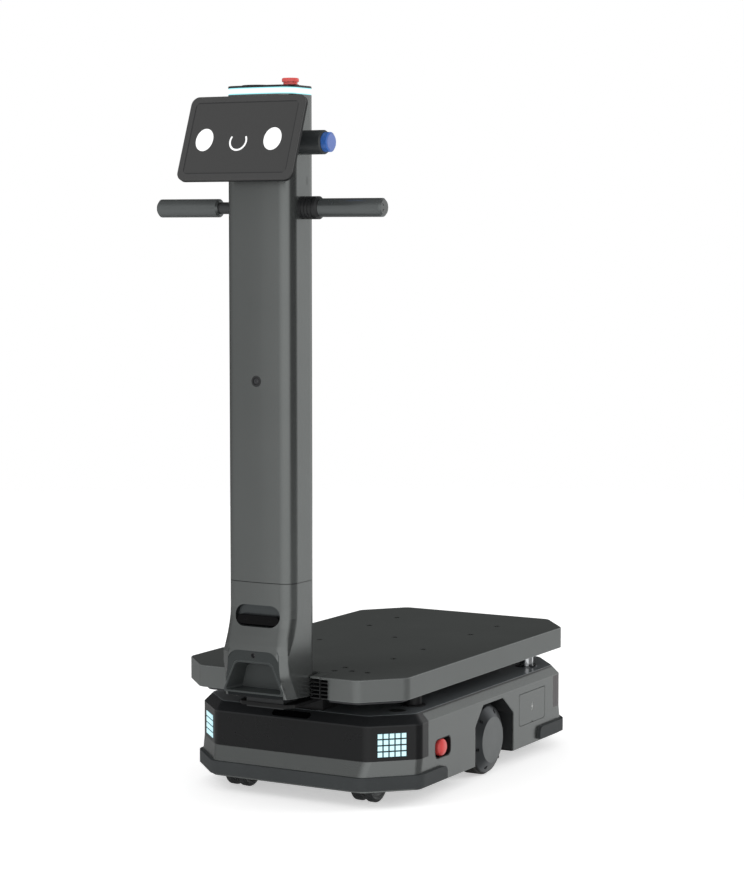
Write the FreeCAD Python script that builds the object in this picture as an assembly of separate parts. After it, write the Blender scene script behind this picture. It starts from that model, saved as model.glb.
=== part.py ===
"""Autonomous mobile robot: a low drive base, a lifting load platform and a mast with a display.

Millimetres, +Z up, the robot's front faces -Y. While it is built, y = 0 is the front edge of the
load platform and z = 0 is the floor. Everything is shifted along Y at the end, so that the origin
is at the middle of the robot's box, on the floor.
"""
import FreeCAD, Part
import math
import os

# ---------------------------------------------------------------- driving dimensions
# clearances
skin_gap = 0.3             # between parts that only lie side by side
running_fit = 0.05         # radial, between a shaft and its bore
door_gap = 0.8             # round the charging flap
reach = 80.0               # how far a cutting block runs past what it cuts

# drive base, seen from above an octagon with rounded corners
base_half_width = 242.0
base_front_y = 46.0
base_rear_y = 819.0
nose_half_width = 167.0    # half of the flat front and rear faces
front_run_y = 74.0         # lengths along Y of the corner facets
rear_run_y = 89.0
base_corner_r = 24.0
skirt_z = 31.0             # lower edge of the body shell
flare_top_z = 88.0         # the skirt flares out from here down to the bumper
flare_out_y = 11.0
flare_in_x = 5.0
flare_run_more = 6.0       # the facets are longer at the foot of the flare
crease_z = 155.0           # the shoulder starts here
deck_z = 172.0
deck_t = 3.0
shoulder_in = 16.0
shell_t = 4.0
cover_side_y = 150.0       # the gloss front cover ends here on the sides

# bumpers
bumper_t = 7.0
bumper_z = 35.0
bumper_top_z = 60.0
bumper_end_r = 12.0
bumper_edge_r = 2.0
front_bumper_end_y = 216.0
rear_bumper_end_y = 625.0

# chassis and belly pan
chassis_z = 85.0           # underside of the chassis plate
chassis_t = 6.0
pan_z = 40.0
pan_t = 3.0

# drive wheels
axle_y = 423.0
wheel_r = 70.0
tyre_inset_x = 52.0        # inner face of the tyre, from the side of the base
tyre_w = 36.0
tyre_t = 12.0
tread_groove_w = 3.0
tread_groove_t = 2.0
hub_cover_rim_r = 66.0
hub_cover_flat_r = 46.0
hub_cover_h = 14.0
hub_cover_lip = 2.0
axle_r = 12.0
axle_reach = 28.0          # how far the axle goes into the hub
hub_screw_n = 6
hub_screw_r = 3.0
hub_screw_ring_r = 56.0
arch_front_y = 345.0
arch_rear_y = 514.0
arch_top_z = 147.0
arch_side_z = 109.0
arch_front_run = 34.0
arch_rear_run = 49.0
arch_corner_r = 5.0
well_inset_x = 74.0        # inner wall of the wheel well, from the side of the base
well_t = 2.0
axle_block_y = 80.0
axle_block_z = 40.0
axle_block_x = 24.0

# casters, one in each corner
caster_x = 140.0
caster_setback = 83.0      # pivot behind the front face, and before the rear face
caster_trail = 22.0        # the wheels run this far in front of the pivot
caster_turn = -6.6         # all four stand turned a little
caster_wheel_r = 31.5
caster_wheel_w = 18.0
caster_track = 30.0
caster_axle_r = 4.0
caster_pin_r = 5.0
caster_plate = 58.0
caster_plate_t = 4.0
caster_boss_r = 18.0
caster_boss_h = 6.0
caster_web_t = 8.0
caster_hub_h = 9.0
caster_tread = 5.0

# emergency stops on the sides
stop_y = 209.5
stop_z = 94.5
stop_pocket_y = 65.0
stop_pocket_z = 39.0
stop_pocket_r = 13.0
stop_pocket_depth = 24.0
stop_wall = 2.0
stop_cap_r = 14.5
stop_cap_h = 17.0
stop_proud = 4.0
stop_stem_r = 6.0
stop_block = 24.0
stop_block_x = 16.0
stop_travel = 5.0

# charging flap on the right side
flap_front_y = 540.0
flap_rear_y = 658.0
flap_bottom_z = 75.0
flap_top_z = 140.0
flap_t = 3.2
flap_corner_r = 8.0
flap_top_corner_r = door_gap   # small, so that the leaf clears its opening as it swings
flap_barrel_r = 2.5
flap_pin_r = 1.0
flap_notch_r = 4.0
recess_depth = 30.0
recess_in = 5.0
recess_drop = 10.0
recess_wall = 2.0
recess_corner_r = 1.0
recess_flange_r = 6.0
recess_flange_out = 4.0    # past the flap, behind the shell
recess_flange_over = 2.0   # above the recess, clear of the hinge
recess_flange_t = 2.0
contact_r = 5.0
contact_h = 14.0
contact_pitch = 40.0

# lights
tile = 9.0
tile_pitch = 11.6
tile_rows = 4
tile_cols = 5
tile_proud = 0.6
tile_mid_z = 118.0
tile_mid_share = 0.47      # place of the middle column along the corner facet
rear_light_y = 699.0
rear_light_end_y = 795.0
rear_light_z = 88.0
rear_light_top_z = 154.0

# window in the nose
nose_window_w = 84.0
nose_window_l = 15.0
nose_window_t = 2.0
nose_window_share = 0.45   # place of its middle up the slope
nose_window_sink = 1.0

# load platform
plat_half_width = 241.0
plat_length = 826.0
plat_top_z = 250.0
plat_skirt_z = 208.0
plat_plate_t = 5.0
plat_skirt_t = 3.0
plat_cut_x = 70.0
plat_front_run = 73.0
plat_rear_run = 85.0
plat_corner_r = 22.0
plat_edge = 1.6
notch_half = 93.0
notch_y = 42.0
louvre_half = 111.0
louvre_depth = 26.0
louvre_n = 5
louvre_t = 2.0
frame_z = 200.0
frame_plate_t = 6.0
frame_inset = 20.0
rib_t = 4.0
rib_x = 70.0
rib_first_y = 90.0
rib_row_y = 190.0
rib_rows = 4
thread_r = 3.4             # tapping hole of M8
thread_x = 119.0
thread_rows_y = (236.0, 359.0, 564.0, 684.0)
front_pair_x = 86.0
front_pair_y = (68.0, 108.0)
front_row_y = 80.0
front_row_x = (117.0, 150.0)
centre_hole_y = 459.0

# lift
lift_travel = 60.0
post_inset_x = 58.0        # the posts stand this far inside the base
post_rows_y = (200.0, 690.0)
post_r = 15.0
post_bottom_z = 100.0
bush_r = 19.0
bush_flange_r = 23.0
bush_flange_t = 2.5
bush_bottom_z = 112.0
screw_rows_y = (262.0, 628.0)
screw_r = 10.0
screw_housing_r = 20.0
screw_gap_z = 4.0
lift_shaft_r = 6.0
lift_motor_r = 28.0
lift_motor_l = 110.0
plug_r = 16.0
plug_t = 0.8
plug_y = 136.0

# boxes inside the base
battery_half_x = 118.0
battery_y = (652.0, 790.0)
controller_half_x = 120.0
controller_y = (160.0, 236.0)
box_h = 62.0

# mast
mast_half = 71.0
mast_front_y = -65.0
mast_rear_y = 32.0
mast_front_r = 26.0
mast_rear_r = 26.0
mast_bulge = 2.5
mast_t = 3.0
mast_foot_z = 428.0        # the foot cover ends and the mast tube starts
foot_end_z = 200.0
mast_top_z = 1320.0
light_ring_h = 12.0
top_cap_h = 4.0
core_x = 80.0
core_y = 50.0
core_t = 3.0
core_drop = 25.0           # the core ends below the top of the tube

# mast foot: the front swells below the waist, its round corners turn into bevels
foot_waist_z = 374.0
foot_flare_z = 291.0
foot_tuck_z = 255.0
foot_flare_out = 19.0
foot_tuck_in = 13.0
foot_levels = 15
bevel_top_z = 332.0
corner_cut = 15.2          # cuts and radius that make the mast's round corner
corner_cut_r = 25.5
bevel_x = 20.0
bevel_y = 10.0
bevel_r = 5.0
bevel_end_x = 3.5
bevel_end_y = 32.0
bevel_end_r = 3.0
foot_bow = 0.6
foot_t = 4.0
foot_rear_cut_z = 209.0     # the cover's lower edge at the rear
foot_front_rise = 8.0      # it rises this much to the front
foot_tray_top_z = 224.0
base_plate_z = 178.0
base_plate_t = 12.0
base_plate_half = 60.0
base_plate_front_y = -56.0
base_plate_rear_y = 150.0
pedestal_y = 68.0

# arch and alcove in the mast foot
arch_face_y = -82.0
arch_corners = ((72.0, 200.0), (71.0, 226.0), (65.0, 252.0), (49.0, 303.0))
arch_r = (0.0, 8.0, 20.0, 24.0)
alcove_front = (226.0, 62.0, 280.0, 38.0)    # floor and its half width, ceiling and its half width
alcove_back = (229.0, 44.0, 272.0, 32.0)
alcove_corner_r = 12.0
alcove_floor_r = 4.0
alcove_back_y = -50.0
alcove_wall = 3.0
foot_sensor_z = 294.0
foot_sensor_r = 5.5
foot_lens_r = 4.0

# cameras in the mast
slot_half = 48.5
slot_z = (346.0, 386.0)
slot_in_half = 45.0
slot_in_z = (348.5, 367.0)
slot_back_y = -66.0
slot_wall_y = -57.0
slot_taper = 2.0
mast_camera_z = 799.0
mast_camera_r = 10.5
mast_lens_r = 7.0

# display
display_w = 243.0
display_h = 163.0
display_t = 14.0
display_r = 16.0
display_tilt = 20.9
display_y = -111.0
display_z = 1238.0
display_edge = 2.0
bezel = 12.0
glass_t = 1.5
glass_sink = 0.4
arm_half = 38.0
arm_h = 76.0

# handles
handle_y = -18.0
handle_z = 1115.0
bar_r = 10.0
grip_r = 17.0
grip_end_x = 241.0
grip_left_in_x = 106.0
grip_chamfer = 3.5
neck_r = 11.0
collar_r = 21.0
collar_end_x = 109.5
collar_groove = 1.2
collar_groove_w = 3.0
collar_grooves = 4
end_cap_t = 3.0
end_slot = 2.0

# mode button on the right of the mast
mode_z = 1233.0
mode_r = 22.0
mode_end_x = 119.0
mode_cap_r = 18.0
mode_proud = 13.0
mode_travel = 3.0
mode_stem_r = 6.0
mode_stem_l = 20.0

# emergency stop and antenna cover on the top
top_stop_x = 44.0
top_stop_crown_r = 15.5
top_stop_neck_r = 13.0
top_stop_rise = 30.0       # its top above the top of the tube
top_stop_crown_h = 7.0
top_stop_ring_r = 16.0
top_stop_ring_h = 2.0
top_stop_travel = 4.0
top_stop_stem_l = 18.0
dome_x = -30.0
dome_rx = 31.0
dome_ry = 24.0
dome_h = 3.0
dome_top_share = 0.86      # the dome's top against its foot

# bolts
bolt_head_r = 6.0
bolt_head_h = 5.0
small_bolt_r = 4.0
small_bolt_h = 3.0
stud_r = 7.0
stud_h = 8.0
stud_x = 60.0
stud_y = 95.0
corner_stud_inset = 25.0
corner_stud_y = 109.0

SIDES = (1, -1)


# ---------------------------------------------------------------- helpers
def vec(x, y, z=0.0):
    return FreeCAD.Vector(x, y, z)


def rounded_wire(corners, radius, z=0.0):
    """Closed wire through the corners, each rounded: radius is one number or one per corner."""
    count = len(corners)
    radii = radius if isinstance(radius, (list, tuple)) else [radius] * count
    cuts = []
    for i in range(count):
        here = vec(*corners[i], z)
        back = (vec(*corners[i - 1], z) - here).normalize()
        ahead = (vec(*corners[(i + 1) % count], z) - here).normalize()
        half_angle = back.getAngle(ahead) / 2
        reach = radii[i] / math.tan(half_angle)
        bisector = (back + ahead).normalize()
        middle = here + bisector * (radii[i] / math.sin(half_angle) - radii[i])
        cuts.append((here + back * reach, middle, here + ahead * reach))
    edges = []
    for i in range(count):
        start, middle, end = cuts[i]
        following = cuts[(i + 1) % count][0]
        if radii[i] > 0:
            edges.append(Part.Arc(start, middle, end).toShape())
        if (following - end).Length > 1e-6:
            edges.append(Part.LineSegment(end, following).toShape())
    return Part.Wire(edges)


def prism(corners, radius, z0, z1):
    """Rounded outline in XY, extruded from z0 to z1."""
    return Part.Face(rounded_wire(corners, radius, z0)).extrude(vec(0, 0, z1 - z0))


def prism_x(corners, radius, x0, x1):
    """Rounded outline in YZ, extruded from x0 to x1."""
    solid = prism(corners, radius, x0, x1)
    solid.rotate(vec(0, 0), vec(1, 1, 1), 120)
    return solid


def prism_y(corners, radius, y0, y1):
    """Rounded outline in XZ, extruded from y0 to y1."""
    solid = prism(corners, radius, -y1, -y0)
    solid.rotate(vec(0, 0), vec(1, 0, 0), 90)
    return solid


def taper(low, low_r, high, high_r, z0, z1):
    """Ruled solid between two rounded outlines in XY."""
    return Part.makeLoft([rounded_wire(low, low_r, z0), rounded_wire(high, high_r, z1)], True, True)


def box(x0, x1, y0, y1, z0, z1):
    return Part.makeBox(x1 - x0, y1 - y0, z1 - z0, vec(x0, y0, z0))


def cylinder(radius, start, direction, length):
    return Part.makeCylinder(radius, length, start, direction)


def ring(outer, inner, start, direction, length):
    return cylinder(outer, start, direction, length).cut(cylinder(inner, start, direction, length))


def rectangle(x0, x1, y0, y1):
    return [(x0, y0), (x1, y0), (x1, y1), (x0, y1)]


def inset(corners, distance):
    """The outline moved inwards by distance (outwards if negative), corners listed anticlockwise."""
    count = len(corners)
    lines = []
    for i in range(count):
        (x0, y0), (x1, y1) = corners[i], corners[(i + 1) % count]
        length = math.hypot(x1 - x0, y1 - y0)
        nx, ny = -(y1 - y0) / length, (x1 - x0) / length
        lines.append((nx, ny, nx * x0 + ny * y0 + distance))
    moved = []
    for i in range(count):
        a0, b0, c0 = lines[i - 1]
        a1, b1, c1 = lines[i]
        det = a0 * b1 - a1 * b0
        moved.append(((c0 * b1 - c1 * b0) / det, (a0 * c1 - a1 * c0) / det))
    return moved


def octagon(half, front, rear, flat_half, front_run, rear_run):
    """Rectangle with its four corners cut off, anticlockwise from the left end of the front."""
    return [(-flat_half, front), (flat_half, front), (half, front + front_run), (half, rear - rear_run),
            (flat_half, rear), (-flat_half, rear), (-half, rear - rear_run), (-half, front + front_run)]


def fuse(first, *others):
    return first.multiFuse(list(others)).removeSplitter()


def cut(shape, *tools):
    for tool in tools:
        shape = shape.cut(tool)
    return shape


def mirrored(shape):
    return shape.mirror(vec(0, 0), vec(1, 0, 0))


def revolve_x(profile, x0, y, z):
    """Solid turned about an axis along X: the profile lists (x, radius) from the axis out and back."""
    points = [vec(x0 + x, y, z + r) for x, r in profile]
    points.append(points[0])
    face = Part.Face(Part.makePolygon(points))
    return face.revolve(vec(x0, y, z), vec(1, 0, 0), 360)


nodes = {}


def add(name, *shapes):
    """Files the solids of one node."""
    solids = [solid for shape in shapes for solid in shape.Solids]
    nodes[name] = solids[0] if len(solids) == 1 else Part.makeCompound(solids)


# ---------------------------------------------------------------- outlines of the base
base = octagon(base_half_width, base_front_y, base_rear_y, nose_half_width, front_run_y, rear_run_y)
flare = octagon(base_half_width, base_front_y - flare_out_y, base_rear_y + flare_out_y,
                nose_half_width - flare_in_x, front_run_y + flare_run_more,
                rear_run_y + flare_run_more)
post_x = base_half_width - post_inset_x
corner_stud_x = base_half_width - corner_stud_inset
tyre_in_x = base_half_width - tyre_inset_x
well_x = base_half_width - well_inset_x
core_top_z = mast_top_z - core_drop
top_stop_z = mast_top_z + top_stop_rise
rim_z = deck_z - deck_t
rim_in = shoulder_in * (rim_z - crease_z) / (deck_z - crease_z)
chassis_top_z = chassis_z + chassis_t
caster_front_y = base_front_y + caster_setback
caster_rear_y = base_rear_y - caster_setback
caster_pivots = [("front_left", -caster_x, caster_front_y), ("front_right", caster_x, caster_front_y),
                 ("rear_left", -caster_x, caster_rear_y), ("rear_right", caster_x, caster_rear_y)]
post_places = [(side * post_x, y) for y in post_rows_y for side in SIDES]
bolt_rows_y = (pedestal_y + 17.0, base_plate_rear_y - 15.0)
bolt_places = [(side * (base_plate_half - 14.0), y) for y in bolt_rows_y for side in SIDES]
mast_mid_y = (mast_front_y + mast_rear_y) / 2
core_front_y = mast_mid_y - core_y / 2


def shell_body(offset, z_bottom, z_top):
    """The base's outer form, offset inwards: skirt, flare, upright wall and shoulder."""
    r = base_corner_r - offset
    skirt = prism(inset(flare, offset), r, z_bottom, bumper_top_z)
    flaring = taper(inset(flare, offset), r, inset(base, offset), r, bumper_top_z, flare_top_z)
    wall = prism(inset(base, offset), r, flare_top_z, crease_z)
    shoulder = taper(inset(base, offset), r, inset(base, offset + rim_in), r, crease_z, rim_z)
    solids = [skirt, flaring, wall, shoulder]
    if z_top > rim_z:
        solids.append(prism(inset(base, offset + rim_in), r, rim_z, z_top))
    return fuse(*solids)


def arch_outline(grow=0.0):
    """Wheel opening seen from the side, open at the bottom."""
    return [(arch_front_y - grow, skirt_z - 2), (arch_rear_y + grow, skirt_z - 2),
            (arch_rear_y + grow, arch_side_z), (arch_rear_y - arch_rear_run + grow, arch_top_z + grow),
            (arch_front_y + arch_front_run - grow, arch_top_z + grow), (arch_front_y - grow, arch_side_z)]


def stop_outline(grow):
    return rectangle(stop_y - stop_pocket_y / 2 - grow, stop_y + stop_pocket_y / 2 + grow,
                     stop_z - stop_pocket_z / 2 - grow, stop_z + stop_pocket_z / 2 + grow)


def flap_outline(grow):
    return rectangle(flap_front_y - grow, flap_rear_y + grow, flap_bottom_z - grow, flap_top_z + grow)


def flap_radii(grow):
    return [flap_corner_r + grow, flap_corner_r + grow, flap_top_corner_r + grow, flap_top_corner_r + grow]


# ---------------------------------------------------------------- drive base: shell and covers
flap_axis_x = base_half_width - flap_barrel_r
flap_axis_z = flap_top_z - flap_barrel_r
flap_pin = cylinder(flap_pin_r, vec(flap_axis_x, flap_front_y - 4, flap_axis_z), vec(0, 1),
                    flap_rear_y - flap_front_y + 8)


def build_shell():
    shell = shell_body(0.0, skirt_z, rim_z).cut(shell_body(shell_t, skirt_z - 1, rim_z + 1))
    far = base_half_width + 20
    front_region = box(-far, far, base_front_y - reach, cover_side_y, flare_top_z, deck_z)
    cover = shell.common(front_region)
    shell = shell.cut(front_region)
    light_region = box(-far, far, rear_light_y, rear_light_end_y, rear_light_z, rear_light_top_z)
    lights = shell.common(light_region)
    shell = shell.cut(light_region)
    inner = base_half_width - shell_t - 1
    for x0, x1 in ((inner, far), (-far, -inner)):
        shell = cut(shell, prism_x(arch_outline(), arch_corner_r, x0, x1),
                    prism_x(stop_outline(0), stop_pocket_r, x0, x1))
    shell = cut(shell, prism_x(flap_outline(door_gap), flap_radii(door_gap), inner, far), flap_pin)
    add("body_shell", shell)
    add("rear_lights", lights)
    # the window lies in the sloping nose, above the front face
    slope = math.degrees(math.atan2(deck_z - crease_z, shoulder_in))
    window = prism([(-nose_window_w / 2, -nose_window_l / 2), (nose_window_w / 2, -nose_window_l / 2),
                    (nose_window_w / 2, nose_window_l / 2), (-nose_window_w / 2, nose_window_l / 2)],
                   nose_window_l / 2 - 0.01, -nose_window_t - shell_t, 20)
    window.rotate(vec(0, 0), vec(1, 0, 0), slope)
    window.translate(vec(0, base_front_y + shoulder_in * nose_window_share,
                         crease_z + (deck_z - crease_z) * nose_window_share))
    pane = window.common(cover)
    cover = cover.cut(window)
    pane.translate(vec(0, math.sin(math.radians(slope)), -math.cos(math.radians(slope))) * nose_window_sink)
    add("front_cover", cover)
    add("nose_window", pane)


def build_deck():
    deck = taper(inset(base, rim_in), base_corner_r, inset(base, shoulder_in), base_corner_r, rim_z, deck_z)
    for x, y in post_places:
        deck = deck.cut(cylinder(bush_r, vec(x, y, rim_z - 1), vec(0, 0, 1), deck_t + 2))
    for y in screw_rows_y:
        deck = deck.cut(cylinder(screw_r + 2, vec(0, y, rim_z - 1), vec(0, 0, 1), deck_t + 2))
    for side in SIDES:
        deck = deck.cut(cylinder(plug_r, vec(side * post_x, plug_y, deck_z - plug_t), vec(0, 0, 1), deck_t))
    add("top_deck", deck)


def build_bumpers():
    outer = prism(inset(flare, -bumper_t), base_corner_r + bumper_t, bumper_z, bumper_top_z)
    hoop = outer.cut(prism(flare, base_corner_r, bumper_z - 1, bumper_top_z + 1))
    far = base_half_width + 40
    for name, y0, y1, radii in (
            ("front_bumper", base_front_y - reach, front_bumper_end_y, [0, bumper_edge_r, bumper_end_r, 0]),
            ("rear_bumper", rear_bumper_end_y, base_rear_y + reach, [bumper_edge_r, 0, 0, bumper_end_r])):
        keep = prism_x(rectangle(y0, y1, bumper_z, bumper_top_z), radii, -far, far)
        add(name, hoop.common(keep))


def build_corner_lights():
    """Square lamps in rows on the two front corner facets."""
    start = vec(nose_half_width, base_front_y)
    along = vec(base_half_width - nose_half_width, front_run_y)
    length = along.Length
    direction = along * (1 / length)
    angle = math.degrees(math.atan2(direction.y, direction.x))
    lamps = []
    for col in range(tile_cols):
        for row in range(tile_rows):
            lamp = Part.makeBox(tile, tile_proud, tile, vec(-tile / 2, -tile_proud, -tile / 2))
            lamp.rotate(vec(0, 0), vec(0, 0, 1), angle)
            place = start + direction * (length * tile_mid_share + (col - (tile_cols - 1) / 2) * tile_pitch)
            place.z = tile_mid_z + (row - (tile_rows - 1) / 2) * tile_pitch
            lamp.translate(place)
            lamps += [lamp, mirrored(lamp)]
    add("corner_lights", *lamps)


def build_chassis():
    plate = prism(inset(base, shell_t), base_corner_r - shell_t, chassis_z, chassis_top_z)
    pan = prism(inset(flare, shell_t), base_corner_r - shell_t, pan_z, pan_z + pan_t)
    far = base_half_width + 20
    for x0, x1 in ((well_x - well_t - skin_gap, far), (-far, -well_x + well_t + skin_gap)):
        wheel_space = prism_x(arch_outline(well_t + skin_gap), 0, x0, x1)
        plate = plate.cut(wheel_space)
        pan = pan.cut(wheel_space)
    for side in SIDES:
        inner = base_half_width - shell_t - stop_block_x - stop_pocket_depth
        pocket = prism_x(stop_outline(stop_wall + skin_gap), 0, inner, base_half_width)
        plate = plate.cut(pocket if side > 0 else mirrored(pocket))
    inner = base_half_width - shell_t - skin_gap
    recess_space = prism_x(recess_outline(recess_wall + skin_gap), 0, inner - recess_depth, far)
    plate = cut(plate, recess_space, prism_x(recess_flange(skin_gap), 0, inner - recess_flange_t, far))
    sweep = caster_trail + caster_wheel_r + caster_wheel_w / 4
    for _, x, y in caster_pivots:
        pan = pan.cut(cylinder(sweep + 5, vec(x, y, pan_z - 1), vec(0, 0, 1), pan_t + 2))
    add("chassis_plate", plate)
    add("belly_pan", pan)


# ---------------------------------------------------------------- wheels
def build_wheel_wells():
    outer = prism_x(arch_outline(well_t), arch_corner_r, well_x - well_t, base_half_width - shell_t)
    inner = prism_x(arch_outline(), arch_corner_r, well_x, base_half_width)
    liner = outer.cut(inner)
    liner = liner.cut(box(well_x - 5, base_half_width, arch_front_y, arch_rear_y, skirt_z - 4, skirt_z))
    liner = liner.cut(cylinder(axle_r + 4, vec(well_x - 5, axle_y, wheel_r), vec(1, 0), 10))
    add("wheel_wells", liner, mirrored(liner))


def build_drive_wheels():
    hub_w = tyre_w + 2
    hub_x = tyre_in_x - 1
    cover_x = hub_x + hub_w
    groove = tread_groove_w / 2
    tyre_in_r = wheel_r - tyre_t
    tread = [(0, tyre_in_r), (0, wheel_r - 3), (3, wheel_r)]
    for k in (1, 2, 3):
        mid = tyre_w * k / 4
        tread += [(mid - groove, wheel_r), (mid - groove, wheel_r - tread_groove_t),
                  (mid + groove, wheel_r - tread_groove_t), (mid + groove, wheel_r)]
    tread += [(tyre_w - 3, wheel_r), (tyre_w, wheel_r - 3), (tyre_w, tyre_in_r)]
    tyre = revolve_x(tread, tyre_in_x, axle_y, wheel_r)
    bore = axle_r + running_fit
    hub = revolve_x([(0, bore), (0, tyre_in_r - 10), (4, tyre_in_r), (hub_w, tyre_in_r), (hub_w, 0),
                     (axle_reach + 2, 0), (axle_reach + 2, bore)], hub_x, axle_y, wheel_r)
    rim = hub_cover_rim_r
    cover = revolve_x([(0, 0), (0, rim), (hub_cover_lip, rim), (hub_cover_h - 1, hub_cover_flat_r + 1),
                       (hub_cover_h, hub_cover_flat_r - 1), (hub_cover_h, 0)], cover_x, axle_y, wheel_r)
    for k in range(hub_screw_n):
        turn = math.radians(360 * k / hub_screw_n + 12)
        centre = vec(cover_x, axle_y + hub_screw_ring_r * math.cos(turn),
                     wheel_r + hub_screw_ring_r * math.sin(turn))
        cone_x = hub_cover_lip + (hub_cover_h - hub_cover_lip) * (rim - hub_screw_ring_r) / (
            rim - hub_cover_flat_r)
        seat = cylinder(hub_screw_r + 1, centre + vec(cone_x - 4, 0), vec(1, 0), 20)
        cover = cover.cut(seat)
        screw = cylinder(hub_screw_r, centre + vec(cone_x - 4, 0), vec(1, 0), 2.5)
        cover = fuse(cover, screw)
    add("tyre_right", tyre)
    add("tyre_left", mirrored(tyre))
    add("hub_right", hub)
    add("hub_left", mirrored(hub))
    add("hub_cover_right", cover)
    add("hub_cover_left", mirrored(cover))
    block = prism_x(rectangle(axle_y - axle_block_y / 2, axle_y + axle_block_y / 2,
                              chassis_z - axle_block_z, chassis_z), [10, 10, 0, 0],
                    well_x - well_t - skin_gap - axle_block_x, well_x - well_t - skin_gap)
    axle = cylinder(axle_r, vec(well_x - well_t - axle_block_x, axle_y, wheel_r), vec(1, 0),
                    hub_x + axle_reach - well_x + well_t + axle_block_x)
    bracket = fuse(block, axle)
    add("axle_brackets", bracket, mirrored(bracket))


def build_casters():
    plate_z = chassis_z - caster_plate_t
    boss_z = plate_z - caster_boss_h
    hub_top = boss_z - skin_gap
    hub_z = hub_top - caster_hub_h
    mounts = []
    for name, x, y in caster_pivots:
        plate = prism([(x + dx * caster_plate / 2, y + dy * caster_plate / 2)
                       for dx, dy in ((-1, -1), (1, -1), (1, 1), (-1, 1))], 6, plate_z, chassis_z)
        boss = cylinder(caster_boss_r, vec(x, y, boss_z), vec(0, 0, 1), caster_boss_h)
        pin = cylinder(caster_pin_r, vec(x, y, hub_z), vec(0, 0, 1), boss_z - hub_z)
        mounts.append(fuse(plate, boss, pin))
        wheel_y = y - caster_trail
        hub = cylinder(caster_boss_r, vec(x, y, hub_z), vec(0, 0, 1), caster_hub_h)
        web = prism_x([(wheel_y - 9, caster_wheel_r - 9), (wheel_y + 9, caster_wheel_r - 9),
                       (y + caster_boss_r - 2, hub_z + 1), (y + caster_boss_r - 2, hub_z + 4),
                       (y - caster_boss_r - 8, hub_z + 4), (wheel_y - 12, caster_wheel_r + 10)],
                      [8, 8, 2, 0.5, 3, 8], x - caster_web_t / 2, x + caster_web_t / 2)
        reach = caster_track / 2 + caster_wheel_w / 2
        axle = cylinder(caster_axle_r, vec(x - reach, wheel_y, caster_wheel_r), vec(1, 0), 2 * reach)
        fork = fuse(hub, web, axle)
        fork = fork.cut(cylinder(caster_pin_r + running_fit, vec(x, y, hub_z - 1), vec(0, 0, 1),
                                 caster_hub_h + 2))
        fork = fork.cut(cylinder(caster_pin_r + running_fit, vec(x, y, hub_z - 6), vec(0, 0, 1), 8))
        fork.rotate(vec(x, y), vec(0, 0, 1), caster_turn)
        add("caster_fork_" + name, fork)
        wheels = []
        for side in SIDES:
            half = caster_wheel_w / 2
            bore = caster_axle_r + running_fit
            profile = [(-half, bore), (-half, 16), (-half + 2, 20), (-half, 24),
                       (-half, caster_wheel_r - caster_tread), (-half + 4, caster_wheel_r),
                       (half - 4, caster_wheel_r), (half, caster_wheel_r - caster_tread),
                       (half, 24), (half - 2, 20), (half, 16), (half, bore)]
            wheel = revolve_x(profile, x + side * caster_track / 2, wheel_y, caster_wheel_r)
            wheel.rotate(vec(x, y), vec(0, 0, 1), caster_turn)
            wheels.append(wheel)
        add("caster_wheels_" + name, *wheels)
    add("caster_mounts", *mounts)


# ---------------------------------------------------------------- stops, charging flap
def build_side_stops():
    depth = stop_pocket_depth
    outer_x = base_half_width - skin_gap
    cup = prism_x(stop_outline(0), stop_pocket_r, outer_x - depth, outer_x)
    hollow = prism_x(stop_outline(-stop_wall), stop_pocket_r - stop_wall, outer_x - depth + stop_wall,
                     outer_x + 1)
    half = stop_block / 2
    block = box(outer_x - depth - stop_block_x, outer_x - depth, stop_y - half, stop_y + half,
                stop_z - half, stop_z + half)
    stem_l = stop_block_x * 0.4 + stop_wall
    cap_x = base_half_width + stop_proud - stop_cap_h
    stem_x = outer_x - depth - stem_l
    bore = cylinder(stop_stem_r + running_fit, vec(stem_x - stop_travel - 1, stop_y, stop_z), vec(1, 0), 60)
    base_piece = cut(fuse(cut(cup, hollow), block), bore)
    head = revolve_x([(0, 0), (0, stop_cap_r - 1.5), (1.5, stop_cap_r), (stop_cap_h * 0.55, stop_cap_r),
                      (stop_cap_h * 0.8, stop_cap_r * 0.86), (stop_cap_h * 0.95, stop_cap_r * 0.55),
                      (stop_cap_h, 0)], cap_x, stop_y, stop_z)
    stem = cylinder(stop_stem_r, vec(stem_x, stop_y, stop_z), vec(1, 0), cap_x - stem_x + 1)
    button = fuse(head, stem)
    add("side_stop_right", button)
    add("side_stop_left", mirrored(button))
    return [base_piece, mirrored(base_piece)]


def recess_outline(grow):
    return rectangle(flap_front_y + recess_in - grow, flap_rear_y - recess_in + grow,
                     flap_bottom_z + recess_in - grow, flap_top_z - recess_drop + grow)


def recess_flange(grow):
    return rectangle(flap_front_y - recess_flange_out - grow, flap_rear_y + recess_flange_out + grow,
                     flap_bottom_z - recess_flange_out - grow,
                     flap_top_z - recess_drop + recess_wall + recess_flange_over + grow)


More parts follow.
